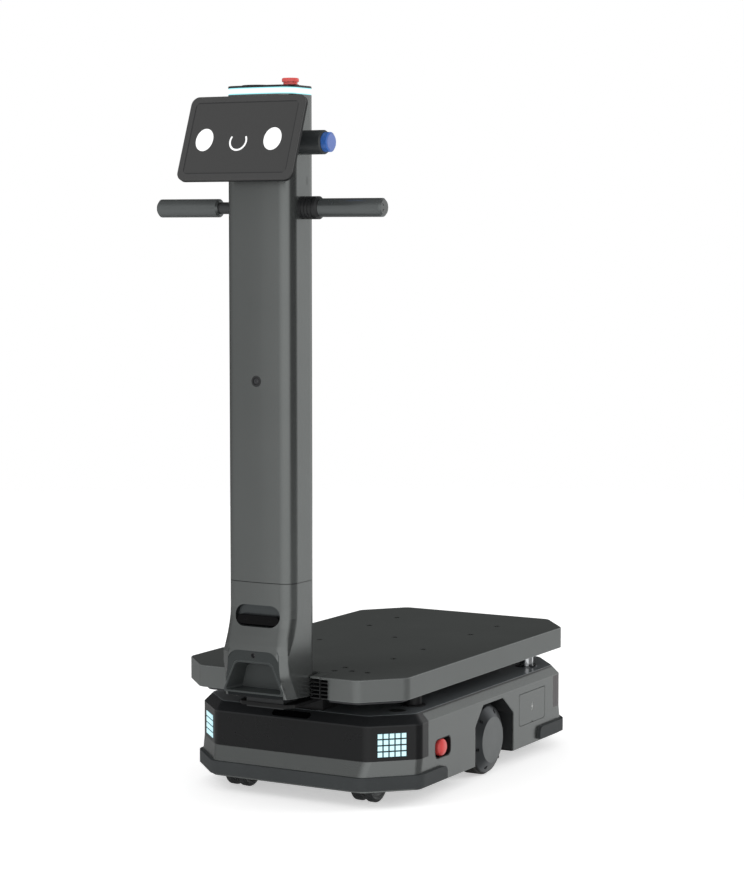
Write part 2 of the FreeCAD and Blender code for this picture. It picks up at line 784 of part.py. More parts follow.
def build_charging():
    inner_x = base_half_width - shell_t
    cup = prism_x(recess_outline(recess_wall), recess_corner_r + recess_wall, inner_x - recess_depth, inner_x)
    hollow = prism_x(recess_outline(0), recess_corner_r, inner_x - recess_depth + recess_wall, inner_x + 1)
    flange = prism_x(recess_flange(0), recess_flange_r, inner_x - recess_flange_t, inner_x)
    mid_y = (flap_front_y + flap_rear_y) / 2
    mid_z = (flap_bottom_z + flap_top_z - recess_drop + recess_in) / 2
    floor_x = inner_x - recess_depth + recess_wall
    recess = cut(fuse(cup, flange), hollow)
    parts = [recess, flap_pin]
    for step in (-0.5, 0.5):
        start = vec(floor_x, mid_y + step * contact_pitch, mid_z)
        parts.append(cylinder(contact_r, start, vec(1, 0), contact_h))
    add("charge_recess", *parts)
    leaf = prism_x(flap_outline(0), flap_radii(0), base_half_width - flap_t, base_half_width)
    above_axis = box(base_half_width - 20, base_half_width + 20, flap_front_y - 1, flap_rear_y + 1,
                     flap_axis_z, flap_top_z + 1)
    barrel = cylinder(flap_barrel_r, vec(flap_axis_x, flap_front_y, flap_axis_z), vec(0, 1),
                      flap_rear_y - flap_front_y)
    barrel = barrel.common(prism_x(flap_outline(0), flap_radii(0), base_half_width - 20, base_half_width))
    leaf = fuse(leaf.cut(above_axis), barrel)
    leaf = leaf.cut(cylinder(flap_pin_r + running_fit, vec(flap_axis_x, flap_front_y - 1, flap_axis_z),
                             vec(0, 1), flap_rear_y - flap_front_y + 2))
    notch = cylinder(flap_notch_r, vec(base_half_width - 1, mid_y, flap_bottom_z - 1), vec(1, 0), 3)
    add("charge_flap", leaf.cut(notch))


# ---------------------------------------------------------------- inside the base
def build_inside():
    battery = prism(rectangle(-battery_half_x, battery_half_x, *battery_y), 6, chassis_top_z,
                    chassis_top_z + box_h)
    add("battery_pack", battery)
    controller = prism(rectangle(-controller_half_x, controller_half_x, *controller_y), 4, chassis_top_z,
                       chassis_top_z + box_h * 0.6)
    add("controller_box", controller)
    housings = []
    for y in screw_rows_y:
        body = cylinder(screw_housing_r, vec(0, y, chassis_top_z), vec(0, 0, 1), rim_z - chassis_top_z)
        bore = cylinder(screw_r + running_fit, vec(0, y, chassis_top_z + 2), vec(0, 0, 1), rim_z)
        housings.append(cut(body, bore))
    gap_y = screw_housing_r - 1
    shaft = cylinder(lift_shaft_r, vec(0, screw_rows_y[0] + gap_y, chassis_top_z + lift_motor_r), vec(0, 1),
                     screw_rows_y[1] - screw_rows_y[0] - 2 * gap_y)
    motor_y = (screw_rows_y[0] + screw_rows_y[1] - lift_motor_l) / 2
    motor = cylinder(lift_motor_r, vec(0, motor_y, chassis_top_z + lift_motor_r), vec(0, 1), lift_motor_l)
    add("lift_drive", fuse(housings[0], housings[1], shaft, motor))


def build_lift():
    bushes = []
    posts = []
    for x, y in post_places:
        sleeve = cylinder(bush_r, vec(x, y, bush_bottom_z), vec(0, 0, 1), deck_z - bush_bottom_z)
        flange = cylinder(bush_flange_r, vec(x, y, deck_z), vec(0, 0, 1), bush_flange_t)
        flange = flange.makeChamfer(0.8, [edge for edge in flange.Edges if edge.BoundBox.ZMin > deck_z + 1])
        bore = cylinder(post_r + running_fit, vec(x, y, bush_bottom_z - 1), vec(0, 0, 1),
                        deck_z - bush_bottom_z + 10)
        bushes.append(cut(fuse(sleeve, flange), bore))
        posts.append(cylinder(post_r, vec(x, y, post_bottom_z), vec(0, 0, 1), frame_z - post_bottom_z))
    for y in screw_rows_y:
        low = chassis_top_z + screw_gap_z
        posts.append(cylinder(screw_r, vec(0, y, low), vec(0, 0, 1), frame_z - low))
    add("guide_bushes", *bushes)
    add("guide_posts", *posts)


# ---------------------------------------------------------------- load platform
platform = octagon(plat_half_width, 0.0, plat_length, plat_half_width - plat_cut_x, plat_front_run,
                   plat_rear_run)


def thread_places():
    """Centres of the threaded holes in the load plate."""
    places = [(side * thread_x, y) for y in thread_rows_y for side in SIDES]
    places += [(side * front_pair_x, y) for y in front_pair_y for side in SIDES]
    places += [(side * x, front_row_y) for x in front_row_x for side in SIDES]
    places.append((0.0, centre_hole_y))
    return places


def notch(grow, z0, z1):
    return box(-notch_half - grow, notch_half + grow, -1, notch_y + grow, z0, z1)


def build_platform():
    plate = prism(platform, plat_corner_r, plat_skirt_z, plat_top_z)
    top_edges = [edge for edge in plate.Edges if edge.BoundBox.ZMin > plat_top_z - 0.01]
    plate = plate.makeChamfer(plat_edge, top_edges)
    under = prism(inset(platform, plat_skirt_t), plat_corner_r - plat_skirt_t, plat_skirt_z - 1,
                  plat_top_z - plat_plate_t)
    plate = cut(plate, under, notch(0, plat_skirt_z - 1, plat_top_z + 1),
                box(-louvre_half, louvre_half, -1, plat_skirt_t + 1, plat_skirt_z - 1,
                    plat_top_z - plat_plate_t))
    for x, y in thread_places():
        plate = plate.cut(cylinder(thread_r, vec(x, y, plat_top_z - plat_plate_t - 1), vec(0, 0, 1),
                                   plat_plate_t + 2))
    add("load_plate", plate)
    sub = prism(inset(platform, frame_inset), plat_corner_r - 4, frame_z, frame_z + frame_plate_t)
    frame_top = plat_top_z - plat_plate_t
    ribs = [sub.cut(notch(10, frame_z - 1, plat_top_z))]
    back = notch_y + 14
    end = plat_length - frame_inset - 6
    low = frame_z + frame_plate_t
    for side in SIDES:
        for x in (rib_x, plat_half_width - frame_inset - 14):
            start = back if x == rib_x else plat_front_run + 17
            stop = end if x == rib_x else plat_length - plat_rear_run - 5
            ribs.append(box(side * x - rib_t / 2, side * x + rib_t / 2, start, stop, low, frame_top))
    reach = plat_half_width - frame_inset - 14
    for k in range(rib_rows):
        y = back + rib_first_y + k * rib_row_y
        ribs.append(box(-reach, reach, y, y + rib_t, low, frame_top))
    add("platform_frame", fuse(*ribs))
    # slatted vents left and right of the mast, joined by a liner round the notch
    top = plat_top_z - plat_plate_t
    liner = box(-notch_half - louvre_t, notch_half + louvre_t, 0, notch_y + louvre_t, plat_skirt_z, top)
    liner = liner.cut(notch(0, plat_skirt_z - 1, top + 1))
    slats = [liner]
    rise = (top - plat_skirt_z) / louvre_n
    for side in SIDES:
        x0, x1 = sorted((side * (notch_half + louvre_t), side * louvre_half))
        slats.append(box(x0, x1, louvre_depth - louvre_t, louvre_depth, plat_skirt_z, top))
        for k in range(louvre_n):
            z = plat_skirt_z + k * rise
            slats.append(prism_x([(1, z), (louvre_depth, z + rise * 0.55), (louvre_depth, z + rise * 0.8),
                                  (1, z + rise * 0.3)], 0, x0, x1))
    add("platform_louvre", fuse(*slats))


# ---------------------------------------------------------------- mast
def bowed(wire, front, bow):
    """Replaces the straight front edge of a level wire by a shallow arc."""
    edges = []
    for edge in wire.Edges:
        ends = [vertex.Point for vertex in edge.Vertexes]
        if all(abs(point.y - front) < 1e-6 for point in ends):
            ends.sort(key=lambda point: point.x)
            edges.append(Part.Arc(ends[0], vec(0, front - bow, ends[0].z), ends[1]).toShape())
        else:
            edges.append(edge)
    return Part.Wire(Part.__sortEdges__(edges))


def mast_wire(z, half, front, rear, front_r, rear_r, bulge):
    """Rounded rectangle whose front side bows out."""
    lines = rounded_wire(rectangle(-half, half, front, rear), [front_r, front_r, rear_r, rear_r], z)
    return bowed(lines, front, bulge)


def mast_section(z, offset=0.0):
    return mast_wire(z, mast_half - offset, mast_front_y + offset, mast_rear_y - offset,
                     mast_front_r - offset, mast_rear_r - offset, mast_bulge)


def mast_prism(z0, z1, offset=0.0):
    return Part.Face(mast_section(z0, offset)).extrude(vec(0, 0, z1 - z0))


def eased(z, start, end):
    """Rises smoothly from 0 at the height start to 1 at the height end below it."""
    share = min(1.0, max(0.0, (start - z) / (start - end)))
    return share * share * (3 - 2 * share)


def foot_wire(z, offset):
    """Section of the foot cover: its front corners go from round to bevelled."""
    crisp = eased(z, bevel_top_z, foot_flare_z)
    low = eased(z, foot_flare_z, foot_end_z)
    cut_x = corner_cut + (bevel_x - corner_cut) * crisp + (bevel_end_x - bevel_x) * low
    cut_y = corner_cut + (bevel_y - corner_cut) * crisp + (bevel_end_y - bevel_y) * low
    radius = corner_cut_r + (bevel_r - corner_cut_r) * crisp + (bevel_end_r - bevel_r) * low
    bow = mast_bulge + (foot_bow - mast_bulge) * crisp
    half = mast_half - offset
    front = (mast_front_y - foot_flare_out * eased(z, foot_waist_z, foot_flare_z)
             + foot_tuck_in * eased(z, foot_tuck_z, foot_end_z) + offset)
    rear = mast_rear_y - offset
    rear_r = mast_rear_r - offset
    corners = [(-half + cut_x, front), (half - cut_x, front), (half, front + cut_y), (half, rear),
               (-half, rear), (-half, front + cut_y)]
    return bowed(rounded_wire(corners, [radius, radius, radius, rear_r, rear_r, radius], z), front, bow)


def foot_form(offset):
    """Foot cover: the mast's section swells forwards above the base."""
    step = (mast_foot_z - foot_end_z) / (foot_levels - 1)
    levels = [foot_end_z + step * k for k in range(foot_levels)]
    return Part.makeLoft([foot_wire(z, offset) for z in levels], True, True)


def alcove_wire(outline, y, grow):
    """Upright outline of the alcove, at one depth."""
    low, low_half, high, high_half = outline
    corners = inset([(-low_half, low), (low_half, low), (high_half, high), (-high_half, high)], -grow)
    wire = rounded_wire(corners, [alcove_floor_r, alcove_floor_r, alcove_corner_r, alcove_corner_r], -y)
    wire.rotate(vec(0, 0), vec(1, 0, 0), 90)
    return wire


def alcove_form(grow, back_y):
    """The alcove narrows from the arch to its back wall."""
    return Part.makeLoft([alcove_wire(alcove_front, arch_face_y, grow),
                          alcove_wire(alcove_back, back_y, grow)], True, True)


def stadium(half, z0, z1, y):
    wire = rounded_wire(rectangle(-half, half, z0, z1), (z1 - z0) / 2 - 0.01, -y)
    wire.rotate(vec(0, 0), vec(1, 0, 0), 90)
    return wire


def build_foot():
    front = arch_face_y - 10
    outer = foot_form(0.0)
    inner = foot_form(foot_t)
    cover = outer.cut(inner)
    front_cut_z = foot_rear_cut_z + foot_front_rise
    below = prism_x([(front - reach, foot_end_z - reach), (mast_rear_y + reach, foot_end_z - reach),
                     (mast_rear_y + reach, foot_rear_cut_z), (mast_rear_y, foot_rear_cut_z),
                     (front, front_cut_z), (front - reach, front_cut_z)], 0,
                    -mast_half - reach, mast_half + reach)
    cover = cover.cut(below)
    # the arch is a shallow flat step in the front
    arch = list(arch_corners) + [(-x, z) for x, z in reversed(arch_corners)]
    cover = cover.cut(prism_y(arch, arch_r + arch_r[::-1], front - reach, arch_face_y))
    cover = cover.cut(alcove_form(alcove_wall, core_front_y))
    liner = alcove_form(alcove_wall, core_front_y).cut(alcove_form(0, alcove_back_y))
    add("alcove_liner", liner)
    # the depth camera looks out of a shallow slot with a wall behind it
    mouth_y = mast_front_y - mast_bulge
    slot = fuse(Part.makeLoft([stadium(slot_half, *slot_z, mouth_y),
                               stadium(slot_half - slot_taper, slot_z[0] + slot_taper,
                                       slot_z[1] - slot_taper, slot_wall_y)], True, True),
                prism_y(rectangle(-slot_half, slot_half, *slot_z), (slot_z[1] - slot_z[0]) / 2 - 0.01,
                        mouth_y - 20, mouth_y))
    lip = prism_y(rectangle(-slot_half - foot_t, slot_half + foot_t, slot_z[0] - foot_t, slot_z[1] + foot_t),
                  (slot_z[1] - slot_z[0]) / 2 + foot_t - 0.01, mouth_y - 20, slot_wall_y + foot_t)
    camera_body = prism_y(rectangle(-slot_in_half, slot_in_half, *slot_in_z),
                          (slot_in_z[1] - slot_in_z[0]) / 2 - 0.01, slot_back_y, core_front_y)
    camera_body = camera_body.makeChamfer(1.0, [edge for edge in camera_body.Edges
                                                if edge.BoundBox.YMax < slot_back_y + 0.01])
    add("depth_camera", camera_body)
    cover = cut(fuse(cover, lip.common(outer)), slot, camera_body)
    sensor_y = arch_face_y - 1
    cover = cover.cut(cylinder(foot_sensor_r, vec(0, sensor_y - 10, foot_sensor_z), vec(0, 1), 30))
    barrel = ring(foot_sensor_r, foot_lens_r, vec(0, arch_face_y, foot_sensor_z), vec(0, 1), foot_t)
    floor = cylinder(foot_sensor_r, vec(0, arch_face_y + foot_t, foot_sensor_z), vec(0, 1),
                     core_front_y - arch_face_y - foot_t)
    add("column_foot", cover)
    tray = inner.common(box(-mast_half, mast_half, front - reach, mast_rear_y, base_plate_z + base_plate_t,
                            foot_tray_top_z))
    hole = box(-core_x / 2, core_x / 2, core_front_y, core_front_y + core_y, base_plate_z,
               foot_tray_top_z + 1)
    add("foot_tray", cut(tray, hole, alcove_form(alcove_wall + skin_gap, core_front_y)))
    return fuse(barrel, floor)


def build_mast(foot_sensor):
    top = base_plate_z + base_plate_t
    plate = prism(rectangle(-base_plate_half, base_plate_half, base_plate_front_y, base_plate_rear_y), 12,
                  base_plate_z, top)
    pad = prism(rectangle(-base_plate_half, base_plate_half, pedestal_y, base_plate_rear_y), 12, deck_z,
                base_plate_z)
    bolts = []
    for x, y in bolt_places:
        bolts.append(cylinder(bolt_head_r, vec(x, y, top), vec(0, 0, 1), bolt_head_h))
    add("mast_base_plate", fuse(plate, pad))
    for _, x, y in caster_pivots:
        for dx, dy in ((-1, -1), (1, -1), (1, 1), (-1, 1)):
            bolts.append(cylinder(small_bolt_r, vec(x + dx * 22, y + dy * 22, chassis_z - caster_plate_t
                                                    - small_bolt_h), vec(0, 0, 1), small_bolt_h))
    add("frame_bolts", *bolts)
    outer = box(-core_x / 2, core_x / 2, core_front_y, core_front_y + core_y, top, core_top_z)
    inner = box(-core_x / 2 + core_t, core_x / 2 - core_t, core_front_y + core_t,
                core_front_y + core_y - core_t, top - 1, core_top_z + 1)
    bar = cylinder(bar_r, vec(-grip_end_x, handle_y, handle_z), vec(1, 0), 2 * grip_end_x)
    add("mast_core", cut(outer, inner, bar))
    tube = mast_prism(mast_foot_z, mast_top_z).cut(mast_prism(mast_foot_z - 1, mast_top_z + 1, mast_t))
    lens_axis = vec(0, mast_front_y - 20, mast_camera_z)
    camera_hole = cylinder(mast_camera_r, lens_axis, vec(0, 1), 40)
    mode_hole = cylinder(mode_stem_r + 3, vec(mast_half - 10, handle_y, mode_z), vec(1, 0), 20)
    add("column_tube", cut(tube, bar, camera_hole, mode_hole))
    face_y = mast_front_y - mast_bulge
    body = cylinder(mast_camera_r, vec(0, face_y, mast_camera_z), vec(0, 1), core_front_y - face_y)
    socket = cylinder(mast_lens_r, vec(0, face_y - 1, mast_camera_z), vec(0, 1), 4)
    body = body.cut(socket)
    lens = cylinder(mast_lens_r - 1, vec(0, face_y + 0.5, mast_camera_z), vec(0, 1), 2.5)
    add("mast_cameras", body, lens, foot_sensor)


def build_mast_top():
    ring_top = mast_top_z + light_ring_h
    glow = mast_prism(mast_top_z, ring_top, 0.6).cut(mast_prism(mast_top_z - 1, ring_top + 1, mast_t + 2))
    add("light_ring", glow)
    cap_top = ring_top + top_cap_h
    cap = mast_prism(ring_top, cap_top)
    top_edges = [edge for edge in cap.Edges if edge.BoundBox.ZMin > cap_top - 0.01]
    cap = cap.makeFillet(1.5, top_edges)
    neck_hole = cylinder(top_stop_neck_r + running_fit, vec(top_stop_x, mast_mid_y, ring_top - 1),
                         vec(0, 0, 1), 20)
    rim = cylinder(top_stop_ring_r, vec(top_stop_x, mast_mid_y, cap_top), vec(0, 0, 1), top_stop_ring_h)
    dome = Part.makeCone(1.0, dome_top_share, dome_h)
    scale = FreeCAD.Matrix()
    scale.scale(dome_rx, dome_ry, 1.0)
    dome = dome.transformGeometry(scale)
    dome.translate(vec(dome_x, mast_mid_y, cap_top))
    add("top_cap", cut(fuse(cap, dome), neck_hole))
    neck_z = ring_top - top_stop_stem_l
    crown_z = top_stop_z - top_stop_crown_h
    neck = cylinder(top_stop_neck_r, vec(top_stop_x, mast_mid_y, neck_z), vec(0, 0, 1), crown_z - neck_z)
    crown = cylinder(top_stop_crown_r, vec(top_stop_x, mast_mid_y, crown_z), vec(0, 0, 1), top_stop_crown_h)
    crown = crown.makeFillet(2.5, [edge for edge in crown.Edges if edge.BoundBox.ZMin > top_stop_z - 0.01])
    add("top_stop_button", fuse(neck, crown))
    return [rim.cut(neck_hole)]


def tilted(shape):
    """Places a shape from the display's own frame, where its front faces -Y."""
    shape.rotate(vec(0, 0), vec(1, 0, 0), -display_tilt)
    shape.translate(vec(0, display_y, display_z))
    return shape


def build_display():
    half_w, half_h, half_t = display_w / 2, display_h / 2, display_t / 2
    case = prism_y(rectangle(-half_w, half_w, -half_h, half_h), display_r, -half_t, half_t)
    face_edges = [edge for edge in case.Edges if edge.BoundBox.YMax < -half_t + 0.01]
    case = case.makeFillet(display_edge, face_edges)
    back_edges = [edge for edge in case.Edges if edge.BoundBox.YMin > half_t - 0.01]
    case = case.makeChamfer(4.0, back_edges)
    window = rectangle(-half_w + bezel, half_w - bezel, -half_h + bezel, half_h - bezel)
    glass_r = display_r - bezel / 2
    case = case.cut(prism_y(window, glass_r, -half_t - 1, -half_t + glass_sink + glass_t))
    glass = prism_y(window, glass_r, -half_t + glass_sink, -half_t + glass_sink + glass_t)
    add("display_case", tilted(case))
    add("display_glass", tilted(glass))
    # the arm fills the wedge between the mast and the back of the display
    lean = math.radians(display_tilt)
    back_y = display_y + half_t / math.cos(lean)

    def back_at(z):
        return back_y + (z - display_z) * math.tan(lean)
    low, high = display_z - arm_h / 2, display_z + arm_h / 2
    flat_y = mast_front_y - mast_bulge
    arm = prism_x([(back_at(low), low), (flat_y, low), (flat_y, high), (back_at(high), high)], 0,
                  -arm_half, arm_half)
    filler = box(-arm_half, arm_half, flat_y, mast_front_y + mast_t, low, high)
    filler = filler.cut(mast_prism(low - 1, high + 1))
    add("display_arm", fuse(arm, filler))


# ---------------------------------------------------------------- handles and mode button
def build_handles():
    bar_end = grip_end_x - end_cap_t
    bar = cylinder(bar_r, vec(-bar_end, handle_y, handle_z), vec(1, 0), 2 * bar_end)
    neck = ring(neck_r, bar_r, vec(-grip_left_in_x - 6, handle_y, handle_z), vec(1, 0),
                grip_left_in_x + 6 - mast_half)
    add("handle_bar", fuse(bar, neck))
    grips = []
    for side, inner_x in ((1, collar_end_x), (-1, grip_left_in_x)):
        length = grip_end_x - inner_x
        bore = bar_r if side > 0 else neck_r
        profile = [(0, bore), (0, grip_r - 1 if side > 0 else grip_r - grip_chamfer),
                   (1 if side > 0 else grip_chamfer, grip_r), (length - grip_chamfer, grip_r),
                   (length, grip_r - grip_chamfer), (length, 0), (length - end_cap_t, 0),
                   (length - end_cap_t, bar_r)]
        if side < 0:
            profile += [(6, bar_r), (6, bore)]
        grip = revolve_x(profile, inner_x, handle_y, handle_z)
        for turn in (45, -45):
            slot = box(grip_end_x - 1.2, grip_end_x + 1, handle_y - 1, handle_y + 1, handle_z + 4,
                       handle_z + 4 + 3 * end_slot)
            slot.rotate(vec(grip_end_x, handle_y, handle_z), vec(1, 0, 0), turn + 90)
            grip = grip.cut(slot)
        grips.append(grip if side > 0 else mirrored(grip))
    add("handle_grips", *grips)
    length = collar_end_x - mast_half
    profile = [(0, bar_r), (0, collar_r)]
    half = collar_groove_w / 2
    for k in range(collar_grooves):
        x = length * (k + 1) / (collar_grooves + 1.5)
        floor_r = collar_r - collar_groove
        profile += [(x - half, collar_r), (x - half, floor_r), (x + half, floor_r), (x + half, collar_r)]
    profile += [(length - 4, collar_r), (length, collar_r - 4), (length, bar_r)]
    return revolve_x(profile, mast_half, handle_y, handle_z)


def build_mode_button():
    length = mode_end_x - mast_half
    stem_x = mode_end_x - mode_stem_l
    profile = [(0, 0), (0, mode_r), (length - 3, mode_r), (length, mode_r - 2), (length, mode_cap_r + 0.5),
               (length - 8, mode_cap_r + 0.5), (length - 8, 0)]
    housing = revolve_x(profile, mast_half, handle_y, mode_z)
    bore = cylinder(mode_stem_r + running_fit, vec(stem_x - mode_travel - 2, handle_y, mode_z), vec(1, 0), 60)
    plug = cylinder(mode_stem_r + 3, vec(mast_half - mast_t, handle_y, mode_z), vec(1, 0), mast_t)
    housing = cut(fuse(housing, plug), bore)
    start = -8 + mode_travel + 0.5
    cap = revolve_x([(start, 0), (start, mode_cap_r), (mode_proud - 2.5, mode_cap_r),
                     (mode_proud, mode_cap_r - 3), (mode_proud, 0)], mode_end_x, handle_y, mode_z)
    stem = cylinder(mode_stem_r, vec(stem_x, handle_y, mode_z), vec(1, 0), mode_stem_l + start + 1)
    add("mode_button", fuse(cap, stem))
    return housing


def build_small_parts():
    studs = []
    for side in SIDES:
        for y in (stud_y, base_rear_y + base_front_y - stud_y):
            studs.append(cylinder(stud_r, vec(side * stud_x, y, pan_z - stud_h), vec(0, 0, 1), stud_h))
        studs.append(cylinder(stud_r, vec(side * corner_stud_x, corner_stud_y, pan_z - stud_h),
                              vec(0, 0, 1), stud_h))
        studs.append(cylinder(plug_r, vec(side * post_x, plug_y, deck_z - plug_t), vec(0, 0, 1),
                              plug_t + 0.4))
    add("plugs_and_studs", *studs)


build_shell()
build_deck()
build_bumpers()
build_corner_lights()
build_chassis()
build_wheel_wells()
build_drive_wheels()
build_casters()
stop_bases = build_side_stops()
build_charging()
build_inside()
build_lift()
build_platform()
build_mast(build_foot())
stop_bases += build_mast_top()
add("stop_bases", *stop_bases)
build_display()
add("side_collars", build_handles(), build_mode_button())
build_small_parts()

# the robot's box runs from the display's lower front edge to the rear bumper
whole = Part.makeCompound(list(nodes.values())).optimalBoundingBox(False)
shift = vec(0, -(whole.YMin + whole.YMax) / 2)

os.makedirs("parts", exist_ok=True)
for name, shape in nodes.items():
    shape = shape.copy()
    shape.translate(shift)
    shape.exportStep("parts/" + name + ".step")
print("nodes", len(nodes), "shift", round(shift.y, 4))
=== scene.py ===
"""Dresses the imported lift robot: finishes, screen face, lenses, inserts, marks and a plain studio."""
from __future__ import annotations

import logging
import math
from dataclasses import dataclass
from enum import Enum
from typing import Any, Callable, Optional, Sequence, Union

import bmesh
import bpy
from mathutils import Euler, Matrix, Vector

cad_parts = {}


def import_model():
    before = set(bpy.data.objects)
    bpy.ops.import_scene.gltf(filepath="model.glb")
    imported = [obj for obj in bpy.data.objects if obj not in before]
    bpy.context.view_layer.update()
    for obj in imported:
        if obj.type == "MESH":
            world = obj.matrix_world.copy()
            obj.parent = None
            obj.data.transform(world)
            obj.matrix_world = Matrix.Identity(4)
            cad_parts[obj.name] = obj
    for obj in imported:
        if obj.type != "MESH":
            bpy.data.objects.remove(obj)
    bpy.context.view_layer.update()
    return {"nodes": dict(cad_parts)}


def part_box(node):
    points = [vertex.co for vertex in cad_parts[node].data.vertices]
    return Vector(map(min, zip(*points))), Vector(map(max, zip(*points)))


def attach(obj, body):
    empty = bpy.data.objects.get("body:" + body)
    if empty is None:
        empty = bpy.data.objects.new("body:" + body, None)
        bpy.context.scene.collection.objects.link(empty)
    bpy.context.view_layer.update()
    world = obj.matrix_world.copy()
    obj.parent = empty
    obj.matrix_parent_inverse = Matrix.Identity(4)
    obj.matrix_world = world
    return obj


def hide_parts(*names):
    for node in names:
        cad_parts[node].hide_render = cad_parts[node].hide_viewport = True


LOG = logging.getLogger("lift_robot")
MM = 0.001
FULL_TURN = 2 * math.pi
UP = Vector((0.0, 0.0, 1.0))
FACING_RIGHT = Euler((math.pi / 2, 0.0, math.pi / 2)).to_matrix().to_4x4()
SIDES = ((1, "right"), (-1, "left"))
SHARP_ANGLE = math.radians(32)
Colour = tuple[float, float, float]
Outline = Sequence[tuple[float, float]]
BLACK: Colour = (0.0, 0.0, 0.0)
WHITE: Colour = (1.0, 1.0, 1.0)


def linear(red: int, green: int, blue: int) -> Colour:
    """Turns a display colour into the linear colour that shaders take.

    Args:
        red: Red from 0 to 255.
        green: Green from 0 to 255.
        blue: Blue from 0 to 255.

    Returns:
        The three linear channels from 0 to 1.
    """
    shares = [channel / 255 for channel in (red, green, blue)]
    return tuple(s / 12.92 if s <= 0.04045 else ((s + 0.055) / 1.055) ** 2.4 for s in shares)


def scaled(colour: Colour, factor: float) -> Colour:
    """Returns the colour made lighter or darker by a factor."""
    return tuple(min(1.0, channel * factor) for channel in colour)


SATIN_GREY = linear(118, 121, 120)


# ---------------------------------------------------------------- shader graph
def operator(operation: str, reflected: bool = False) -> Callable[["Signal", "Value"], "Signal"]:
    """Makes a method of Signal that adds a Math node.

    Args:
        operation: The Math node's operation.
        reflected: Whether the signal stands on the right.

    Returns:
        The method.
    """
    def method(signal: "Signal", other: "Value") -> "Signal":
        """Adds the Math node."""
        return signal.graph.calculate(operation, *((other, signal) if reflected else (signal, other)))
    return method


class Signal:
    """A shader output that takes part in arithmetic."""

    def __init__(self, graph: "Graph", socket: bpy.types.NodeSocket) -> None:
        """Keeps the graph and the socket."""
        self.graph = graph
        self.socket = socket

    __add__, __radd__ = operator("ADD"), operator("ADD", True)
    __sub__, __rsub__ = operator("SUBTRACT"), operator("SUBTRACT", True)
    __mul__, __rmul__ = operator("MULTIPLY"), operator("MULTIPLY", True)
    __truediv__, __rtruediv__ = operator("DIVIDE"), operator("DIVIDE", True)

    def __abs__(self) -> "Signal":
        """Drops the sign."""
        return self.graph.calculate("ABSOLUTE", self)


Value = Union[Signal, float]
Paint = Union[Signal, Colour]


